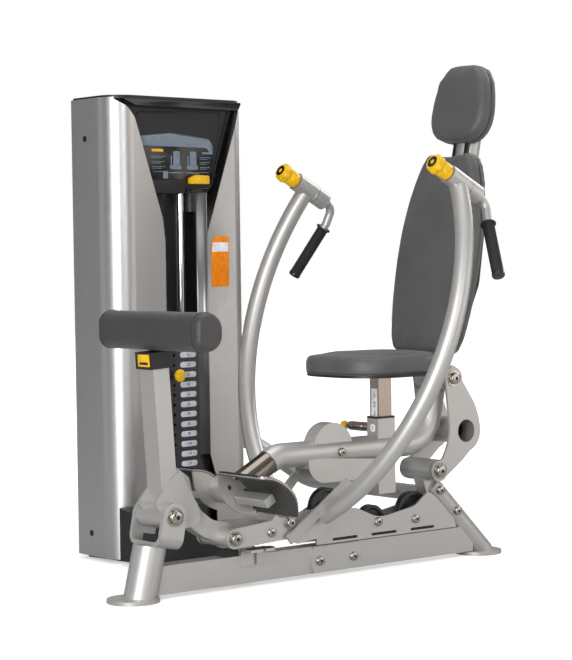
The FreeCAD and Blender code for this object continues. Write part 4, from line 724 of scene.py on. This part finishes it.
def make_front_cushion():
    """A long bolster with sewn end caps."""
    sections = []
    xs = [-PAD_HALF * math.cos(math.pi * i / 60) for i in range(61)]
    seams = [side * (PAD_CAP + off) for side in (-1, 1) for off in (-1.0, 0.0, 1.0)]
    xs = sorted(set([round(x, 2) for x in xs] + seams))
    ring = fillet([(-43.0, -51.0, 30), (43.0, -51.0, 42), (43.0, 51.0, 42), (-43.0, 51.0, 34)], 9)
    verts, faces = [], []
    for x in xs:
        edge = PAD_HALF - abs(x)
        k = 1.0
        if edge < 24:
            k = 1 - 0.30 * (1 - math.sqrt(max(0.0, 1 - (1 - edge / 24) ** 2)))
        if abs(abs(x) - PAD_CAP) < 0.6:
            k -= 0.03
        puff = 1.4 * (1 - (x / PAD_HALF) ** 2)
        row = []
        for y, z in ring:
            length = math.hypot(y, z)
            w = 0.7 * noise.noise(Vector((x * 0.02, y * 0.03, z * 0.03)))
            yy = y * k + (puff + w) * y / length * 0.6
            zz = z * k + (puff * 0.2 + w) * z / length * 0.6
            row.append(len(verts))
            verts.append(P(x, PAD_Y + max(-43.8, min(43.8, yy)), PAD_Z + max(-51.8, min(51.8, zz))))
        sections.append(row)
    count = len(ring)
    for a, b in zip(sections, sections[1:]):
        for i in range(count):
            j = (i + 1) % count
            faces.append((a[i], a[j], b[j], b[i]))
    faces.append(tuple(sections[0]))
    faces.append(tuple(reversed(sections[-1])))
    obj = add_mesh("front_cushion", verts, faces, M["vinyl_dark"], "front_arm", auto=60)
    sub = obj.modifiers.new("smooth", "SUBSURF")
    sub.levels = sub.render_levels = 1
    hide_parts("front_pad")
    for side, tag in ((-1, "l"), (1, "r")):
        loop = [P(side * PAD_CAP, PAD_Y + y * 0.985, PAD_Z + z * 0.985) for y, z in ring]
        wire("front_piping_" + tag, loop, 0.0018, M["black"], "front_arm", True)
        lathe("front_plug_" + tag, P(side * 150, 52.6, 690), (0, -1, 0),
              [(-4, 7.5), (0.2, 7.5), (0.9, 6.8), (0.9, 4.2), (-1.2, 3.8), (-1.2, 0.1)], M["black"],
              "front_arm", 24)


def make_grips():
    for side, tag in ((1, "right"), (-1, "left")):
        a, b = P(side * 348, 962, 981), P(side * 434, 915, 839)
        d = (b - a).normalized()
        a = a + d * 0.006
        length = (b - a).length * 1000
        prof = [(0, 12.8), (0, 21.0), (1.2, 22.0), (4.2, 22.0), (5.4, 20.6), (6.2, 17.4)]
        u = 7.5
        while u < length - 5:
            prof += [(u, 16.0), (u + 0.7, 16.9), (u + 2.3, 16.9), (u + 3.0, 16.0)]
            u += 3.6
        prof += [(length - 3, 16.6), (length - 2.4, 16.2)]
        obj = lathe(tag + "_grip_sleeve", a, d, prof, M["rubber"], tag + "_handle", 36,
                    auto=50)
        cap = [(length - 2.6, 15.0), (length - 2.4, 17.4), (length - 1, 18.0), (length + 6, 18.0),
               (length + 8.2, 16.6), (length + 8.8, 14.0), (length + 8.9, 0.2)]
        lathe(tag + "_grip_cap", a, d, cap, M["black_gloss"], tag + "_handle", 60,
              lobes=20, lobe_depth=1.2, lobe_from=length - 1.5, lobe_to=length + 7)
        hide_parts(tag + "_grip")
        # knob: lobed yellow wheel with a black face and a raised ring
        sd = Vector((0, 149.0, -81.0)).normalized()
        o = P(side * 326.5, 794.0, 1135.0)
        wheel = [(-19.8, 0.2), (-19.8, 19.5), (-18.8, 21.5), (-15.8, 22.3), (-14.8, 24.5), (-11.5, 27.4),
                 (-7, 28.6), (-1, 28.6), (3, 27.4), (5.5, 24.5), (7.5, 21.8), (9.5, 21.4), (11.5, 22.6),
                 (14, 23.6), (40, 23.6), (42.8, 22.6), (43.9, 20.5), (43.9, 0.2)]
        knob = lathe(tag + "_knob_wheel", o, sd, wheel, M["yellow"], tag + "_knob", 72,
                     lobes=6, lobe_depth=3.6, lobe_from=-13, lobe_to=6)
        lathe(tag + "_knob_face", o, sd, [(-19.95, 0.2), (-19.95, 16.6), (-19.0, 17.6), (-17, 17.6)],
              M["black_gloss"], tag + "_knob", 40)
        lathe(tag + "_knob_centre", o, sd, [(-20.0, 3.2), (-20.0, 6.2), (-19.6, 6.8), (-19.4, 6.8),
                                            (-19.4, 3.0)], M["yellow"], tag + "_knob", 30)
        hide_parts(tag + "_knob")
        # ring between the sleeve and the turning collar
        lathe(tag + "_sleeve_ring", o, sd, [(116.6, 17.2), (116.6, 26.6), (117.4, 27.2), (122.4, 27.2),
                                            (123.4, 26.4), (123.6, 17.2)], M["silver"],
              tag + "_handle", 48)


def face(depth):
    """Axes of a plane that lies parallel to the tower's face, this far behind it."""
    return tower(0, depth, 0), TE, (0, 0, 1)


def make_placard():
    body = "base"
    # recessed black panel with a rolled edge, and the instruction plate on it
    plate = fillet([(26, 1252, 14), (170, 1266, 120), (346, 1250, 18), (338, 1124, 10), (82, 1124, 8)], 7)
    slab("placard_plate", plate, face(27.8), 3.0, M["black_gloss"], body, 0.8)
    head = fillet([(29, 1249, 13), (170, 1262, 118), (344, 1246, 26), (344, 1190, 6), (320, 1222, 24),
                   (62, 1224, 20), (42, 1214, 6)], 7)
    slab("placard_header", head, face(24.7), 0.5, M["grey_blue"], body, 0.15)

    def print_block(name, x, z, w, h, corner=0.0, mat=M["grey_blue"]):
        block = [(x, z, corner), (x + w, z, corner), (x + w, z + h, corner), (x, z + h, corner)]
        block = fillet(block, 3) if corner else [q[:2] for q in block]
        slab(name, block, face(24.7), 0.3, mat, body, 0)

    for i, x in enumerate((168, 236)):
        # plain picture panels: a frame, a seat-like block and a post, with no lettering
        print_block("placard_back_%d" % i, x + 14, 1166, 26, 44, 4.0)
        print_block("placard_seat_%d" % i, x, 1156, 46, 12, 3.0)
        print_block("placard_post_%d" % i, x + 4, 1166, 4, 30)
        print_block("placard_foot_%d" % i, x - 4, 1144, 56, 3)
    print_block("placard_pill_a", 96, 1207, 46, 8, 3.0, M["yellow"])
    print_block("placard_pill_b", 300, 1203, 38, 6, 2.0)
    print_block("placard_square", 140, 1128, 20, 22)
    for k in range(4):
        for side, x, w in (("l", 92, 58), ("r", 290, 48)):
            for m in range(2 if k < 3 else 1):
                print_block("placard_line_%s%d%d" % (side, k, m), x + k * 3 * (side == "l"),
                            1192 - k * 15 - m * 5, w - 14 * m - 4 * (k % 2) - k * 3, 1.7)


def make_hood():
    body = "base"
    rim = fillet([(-30, 1352, 10), (18, 1300, 30), (84, 1100, 16), (334, 1100, 16), (418, 1346, 16),
                  (400, 1354, 8)], 8)
    wire("hood_rim", [tower(x, 26.5, z) for x, z in rim], 0.0035, M["black_gloss"], body,
         True)
    inner = fillet([(34, 1322, 20), (96, 1088, 12), (322, 1088, 12), (392, 1330, 22)], 8)
    wire("hood_bead", [tower(x, 27.2, z) for x, z in inner], 0.0022, M["black_gloss"], body,
         True)
    brow = fillet([(-44, 1362, 4), (450, 1362, 4), (436, 1338, 14), (20, 1338, 14)], 6)
    slab("hood_brow", brow, face(12), 8.0, M["black_gloss"], body, 2.2)
    tab = fillet([(88, 1084, 6), (224, 1084, 8), (232, 1124, 4), (84, 1124, 4)], 4)
    slab("hood_tab", tab, face(26), 3.0, M["black"], body, 0.8)
    # the small yellow lever that adds a half step of weight
    lever = fillet([(238, 1112, 5), (314, 1112, 5), (314, 1138, 7), (262, 1140, 6), (238, 1130, 4)], 5)
    slab("step_lever", lever, face(24), 17.0, M["yellow"], body, 3.0)
    # inner return of the window: the sheet rolls inward beside the stack, in a darker copy of the shroud
    # silver as painted shade
    prof = [(0, 0.4), (0.8, 3.5), (3, 8.5), (7, 13.5), (12, 18), (18, 21.5), (25, 24)]
    verts = [tower(294 - a, b + 0.2, z) for z in (296.0, 1086.0) for a, b in prof]
    m = len(prof)
    obj = add_mesh("right_return", verts, [(i, i + 1, m + i + 1, m + i) for i in range(m - 1)],
                   M["shroud_painted_shade"], body)
    thick = obj.modifiers.new("sheet", "SOLIDIFY")
    thick.thickness, thick.offset = 0.0015, -1.0
    # blank plate on the right shroud where the machine carries a notice
    notice = fillet([(309, 802, 5), (382, 802, 5), (382, 955, 4), (322, 955, 3), (309, 925, 3)], 4)
    slab("notice_plate", notice, face(-0.2), 0.7, M["orange"], body, 0.2)
    stripe = [(312, 908), (379, 908), (379, 936), (314, 936)]
    slab("notice_stripe", stripe, face(-0.95), 0.15, M["white"], body, 0)


def plate_middle(k):
    """Height of the middle of weight plate k, counted from the bottom."""
    return PLATE_LOW + k * PLATE_PITCH + 14.5


def make_stack():
    # number tags, one on each weight plate
    for k in range(PLATES):
        z = plate_middle(k)
        body = "stack" if k >= PLATES - LIFTED else "base"
        pill = fillet([(194, z - 8.5, 8), (258, z - 8.5, 8), (258, z + 8.5, 8), (194, z + 8.5, 8)], 6)
        slab("weight_tag_%02d" % k, pill, face(21.8), 0.8, M["lilac"], body, 0.25)
        digits("weight_number_%02d" % k, str((PLATES - k) * 10), tower(226, 20.95, z), TE, (0, 0, 1),
               0.0125, M["black_gloss"], body)
    # selector pin: a turned yellow knob on its steel pin
    z = plate_middle(PLATES - LIFTED)
    knob = lathe("pin_knob", tower(STACK_MID, 0, z), TN, [(-20.5, 4.9), (-12.5, 5.0), (-12.0, 9.0), (-9, 11),
                 (-6, 11.5), (-4, 15.0), (0, 18.4), (4, 19.0), (7, 18.2), (9, 15.5), (9.8, 11), (9.8, 0.2)],
                 M["yellow"], "selector_pin", 40)
    lathe("pin_shank", tower(STACK_MID, 88, z), TN, [(0, 0.2), (0, 4.2), (1.2, 5.05), (75, 5.05), (75, 0.2)],
          M["chrome"], "selector_pin", 24)
    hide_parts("selector_pin")
    # belt: the run that rises with the stack slides over the run that stays on the top pulley
    low, high, half = 657.4, 1102, 13
    run = slab("belt_run", [(STACK_MID - half, low), (STACK_MID + half, low), (STACK_MID + half, high),
               (STACK_MID - half, high)], face(75.5), 5.0, M["belt"], "stack", 0)
    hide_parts("lifting_belt")
    radius, wheel_z, steps = 57, 1222, 18
    wheel_depth = STACK_DEPTH + radius
    wrap = [(0.0, STACK_DEPTH, 1000.0)]
    for i in range(steps + 1):
        ang = math.pi * i / steps
        wrap.append((ang, wheel_depth - radius * math.cos(ang), wheel_z + radius * math.sin(ang)))
    wrap.append((math.pi, wheel_depth + radius, 1130.0))
    verts = []
    for ang, depth, z in wrap:
        for t, r in ((-12.4, -2), (12.4, -2), (12.4, 2), (-12.4, 2)):
            verts.append(tower(STACK_MID + t, depth - r * math.cos(ang), z + r * math.sin(ang)))
    n = len(wrap)
    faces = [(4 * k + i, 4 * k + (i + 1) % 4, 4 * k + 4 + (i + 1) % 4, 4 * k + 4 + i)
             for k in range(n - 1) for i in range(4)]
    faces += [(3, 2, 1, 0), (4 * n - 4, 4 * n - 3, 4 * n - 2, 4 * n - 1)]
    add_mesh("belt_over_pulley", verts, faces, M["belt"], "base")


def make_side_screws():
    """Two screws on the tower's left panel, one near the top and one near the foot."""
    along = (tower(-43, 224, 0) - tower(-76, 0, 0)).normalized()
    outward = Vector((0, 0, 1)).cross(along).normalized()
    for z in (1245.0, 80.0):
        at = tower(-51.4, 150, z) + outward * 0.0030
        lathe("side_screw_%d" % z, at, outward, [(0, 9.5), (0.8, 9.3), (2.2, 7.0), (2.4, 4.0), (0.6, 3.6),
              (0.6, 0.2)], M["black_gloss"], "base", 28)


def bolt(name, at, direction, radius, body, height):
    """A domed button head; its six-sided socket is a near-black hexagon of painted shade."""
    if height > 2:
        prof = [(0, radius * 1.15), (height * 0.7, radius * 1.15), (height + 0.5, radius * 1.06),
                (height + 1.5, radius * 0.86), (height + 2.2, radius * 0.56)]
        height += 2.2
    else:
        prof = [(0, radius), (height * 0.25, radius), (height * 0.55, radius * 0.92),
                (height * 0.85, radius * 0.72), (height, radius * 0.5)]
    lathe(name, at, direction, prof, M["stainless"], body, 32, auto=60)
    a, b, d = basis(direction)
    hexagon = [(radius * 0.40 * math.cos(math.pi / 3 * i), radius * 0.40 * math.sin(math.pi / 3 * i))
               for i in range(6)]
    # painted shade: a near-black hexagon stands for the socket's recess
    slab(name + "_socket", hexagon, (Vector(at) + d * ((height + 0.02) / 1000), a, b), 0.12,
         M["dark_hole"], body, 0)


def make_hardware():
    """Button heads in mirrored pairs: name, x, y, z, radius, body and height."""
    pairs = (
        ("pivot_a_bolt", 73.5, 88, 220, 16.4, "base", 9.0),
        ("splice_bolt_a", 31.8, 609, 47, 11.3, "base", 6.0),
        ("splice_bolt_b", 31.8, 733, 47, 11.3, "base", 6.0),
        ("guard_bolt_a", 35.0, 823, 136, 11.3, "base", 6.0),
        ("guard_bolt_b", 35.0, 968, 131, 11.3, "base", 6.0),
        ("post_bolt_a", 36.0, 1134, 139, 11.3, "base", 6.0),
        ("post_bolt_b", 36.0, 1067, 205, 11.3, "base", 6.0),
        ("link_bolt_d", 73.0, 1092, 532, 15.3, "rear_links", 8.0),
        ("link_bolt_e", 73.0, 1033, 267, 15.3, "rear_links", 8.0),
        ("crank_bolt_b", 72.6, 285, 143, 14.3, "press_arms", 8.0),
        ("crank_bolt_c", 76.0, 471, 170, 12.2, "press_arms", 6.0),
        ("crank_bolt_k", 69.6, 408, 149, 11.2, "press_arms", 6.0),
        ("house_bolt", 38.0, 690, 344, 10.2, "carriage", 5.0),
        ("tread_bolt_0", 58.1, 275, 280, 7.5, "carriage", 1.2),
        ("tread_bolt_1", 58.1, 299, 306, 7.5, "carriage", 1.2),
        ("tread_bolt_2", 58.1, 358, 222, 7.5, "carriage", 1.2))
    for name, x, y, z, radius, body, height in pairs:
        for side, tag in SIDES:
            # the brace tube fills the place of the left upper post bolt
            if (name, tag) != ("post_bolt_b", "l"):
                bolt("%s_%s" % (name, tag), P(side * x, y, z), (side, 0, 0), radius, body, height)


def rounded_edge(y, x, near, far):
    """X of a plate's outer edge at a given Y. near and far are its two corners: the Y where each
    begins, and its radius."""
    if y < near[0]:
        return x - near[1] + math.sqrt(max(0.0, near[1] ** 2 - (near[0] - y) ** 2))
    if y > far[0]:
        return x - far[1] + math.sqrt(max(0.0, far[1] ** 2 - (y - far[0]) ** 2))
    return x


def make_treads():
    """Ribbed rubber over the curved foot plates, with a bright rim and a square arm below."""
    rib_tip, rib_root, rubber_back, middle = 139.6, 138.1, 135.7, 139.0
    ribs, steps = 24, 150

    def on_curve(x, radius, ang):
        return P(x, TREAD_Y + radius * math.cos(ang), TREAD_Z + radius * math.sin(ang))

    for side, tag in SIDES:
        verts, faces, rows = [], [], []
        a0, a1 = math.radians(12.5), math.radians(88.5)
        for i in range(steps + 1):
            ang = a0 + (a1 - a0) * i / steps
            phase = (i / steps) * ribs
            raised = phase - math.floor(phase) < 0.55 and 0 < i < steps
            edge = rounded_edge(TREAD_Y + middle * math.cos(ang), TREAD_OUTER - 5, (261, 22), (336, 40)) - 0.5
            radius = rib_tip if raised else rib_root
            rows.append([len(verts) + k for k in range(4)])
            verts += [on_curve(side * TREAD_INNER, radius, ang), on_curve(side * edge, radius, ang),
                      on_curve(side * edge, rubber_back, ang), on_curve(side * TREAD_INNER, rubber_back, ang)]
        for p, q in zip(rows, rows[1:]):
            for k in range(4):
                m = (k + 1) % 4
                faces.append((p[k], p[m], q[m], q[k]))
        faces.append(tuple(rows[0]))
        faces.append(tuple(reversed(rows[-1])))
        obj = add_mesh("tread_rubber_" + tag, verts, faces, M["rubber"], "carriage", auto=25)
        if side > 0:
            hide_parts("tread_rubbers")
        arm = fillet([(302, 234, 3), (330, 250, 3), (317, 272, 3), (289, 256, 3)], 3)
        slab("tread_arm_" + tag, arm, (P(60 if side > 0 else -190, 0, 0), (0, 1, 0), (0, 0, 1)), 130.0,
             M["silver"], "carriage", 0.8)
        rim = []
        for i in range(41):
            ang = math.radians(9.5 + 80.0 * i / 40)
            edge = rounded_edge(TREAD_Y + 137 * math.cos(ang), TREAD_OUTER, (264, 26), (334.5, 44)) - 2.2
            rim.append(on_curve(side * edge, 137.2, ang))
        wire("tread_rim_" + tag, rim, 0.0022, M["stainless"], "carriage")


def make_seat_parts():
    # number strip on the seat post, and the round window in the sleeve
    strip = [(-13, 428), (13, 428), (13, 512), (-13, 512)]
    slab("height_strip", strip, (P(0, POST_FRONT, 0), (1, 0, 0), (0, 0, 1)), 0.2, M["white"], "seat",
         0.05)
    for k in range(3):
        digits("height_number_%d" % (k + 1), str(k + 1), P(0, POST_FRONT - 0.21, 491 - k * 25),
               (1, 0, 0), (0, 0, 1), 0.021, M["black_gloss"], "seat")
    window_z = PULL_Z + 0.8
    lathe("sleeve_window", P(0, SLEEVE_FRONT, window_z), (0, -1, 0),
          [(0, 11.5), (0.6, 11.3), (0.9, 10.6), (0.9, 0.2)], M["white"], "carriage", 36)
    digits("window_number", "5", P(0, SLEEVE_FRONT - 1, window_z), (1, 0, 0), (0, 0, 1), 0.015,
           M["black_gloss"], "carriage")
    bush = fillet([(-24, 836.5, 3), (24, 836.5, 3), (24, 903.5, 3), (-24, 903.5, 3)], 4)
    hole = fillet([(-19.6, 845.0, 1), (19.6, 845.0, 1), (19.6, 895.2, 1), (-19.6, 895.2, 1)], 4)
    verts, faces = [], []
    m = len(bush)
    for z, ring in ((SLEEVE_TOP, bush), (433, bush), (433, hole), (SLEEVE_TOP, hole)):
        for x, y in ring:
            verts.append(P(x, y, z))
    for k in range(4):
        q = (k + 1) % 4
        for i in range(m):
            j = (i + 1) % m
            faces.append((k * m + i, k * m + j, q * m + j, q * m + i))
    add_mesh("sleeve_bush", verts, faces, M["black"], "carriage")
    barrel = [(-5, 5.9), (0, 5.9), (0, 12.2), (1.5, 13.4), (30, 13.4), (31, 12.6), (33, 12.6),
              (34, 13.4), (88, 13.4), (96, 12.6), (100, 10), (101, 6), (103.6, 5.0), (114, 5.0)]
    pull = lathe("pull_barrel", P(-24.4, PULL_Y, PULL_Z), (-1, 0, 0), barrel, M["post"],
                 "seat_pull_pin", 40)
    ball = [(0, 4.5), (0.5, 6.8), (3, 10.2), (7, 12.4), (11, 13.0), (15, 12.8), (20, 11.0), (23.5, 7.6),
            (25.0, 3.6), (25.3, 0.2)]
    lathe("pull_ball", P(-133.5, PULL_Y, PULL_Z), (-1, 0, 0), ball, M["yellow"], "seat_pull_pin", 40)
    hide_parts("seat_pull_pin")


def make_wheels():
    for name, y, z, r, body in (("arm_pulley", 656, 190, 55, "arm_pulley"),
                                ("base_pulley_front", 823, 136, 46, "base_pulley_front"),
                                ("base_pulley_rear", 982, 150, 56, "base_pulley_rear")):
        prof = [(-12, 8.1), (-12, 16), (-9, 17), (-6.5, 20), (-6.5, r - 14), (-9, r - 11), (-12, r - 9.5),
                (-12, r - 1.2), (-11, r), (-8.5, r), (-7.5, r - 1), (-6.5, r - 5), (6.5, r - 5),
                (7.5, r - 1), (8.5, r), (11, r), (12, r - 1.2), (12, r - 9.5), (9, r - 11), (6.5, r - 14),
                (6.5, 20), (9, 17), (12, 16), (12, 8.1)]
        obj = lathe(name + "_wheel", P(0, y, z), (1, 0, 0), prof, M["nylon"], body, 64)
        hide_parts(name)


def make_shade_backings():
    # black cup deep inside the big cross tube of the rear links: painted shade for the tube's dark inside
    for side, tag in SIDES:
        lathe("link_shade_cup_" + tag, P(side * 8, 1140, 376), (side, 0, 0), [(0, 0.2), (0, 32.6), (13, 32.6),
              (13, 30.4), (2, 30.4), (2, 0.4)], M["black"], "rear_links", 56)
    # black plate behind the slots of the belt guard: painted shade for the guard's inside
    for side, tag in SIDES:
        slab("guard_shade_plate_" + tag, [(640, 93), (1050, 93), (1050, 112), (640, 112)],
             (P(side * 26.5, 0, 0), (0, 1, 0), (0, 0, 1)), 0.8, M["black"], "base", 0)


def make_collar_plate():
    """Small plate on the front cushion's post, left blank but for a band."""
    tilt = math.atan2(22.0, 340.0)
    up = Vector((0, -math.sin(tilt), math.cos(tilt)))
    o = P(0, 78.2, 608.0) + Vector((0, -math.cos(tilt), -math.sin(tilt))) * 0.0311
    slab("collar_plate", fillet([(-26, 6, 3), (26, 6, 3), (26, 38, 3), (-26, 38, 3)], 4),
         (o, (1, 0, 0), up), 0.7, M["yellow"], "front_arm", 0.2)
    slab("collar_band", fillet([(-19, 11, 1), (19, 11, 1), (19, 18, 1), (-19, 18, 1)], 2),
         (o + up.cross(Vector((1, 0, 0))) * -0.00075, (1, 0, 0), up), 0.15, M["black_gloss"],
         "front_arm", 0)


make_camera()
make_materials()
dress_nodes()
make_stage()
make_upholstery()
make_front_cushion()
make_grips()
make_placard()
make_hood()
make_stack()
make_side_screws()
make_hardware()
make_treads()
make_seat_parts()
make_wheels()
make_shade_backings()
make_collar_plate()
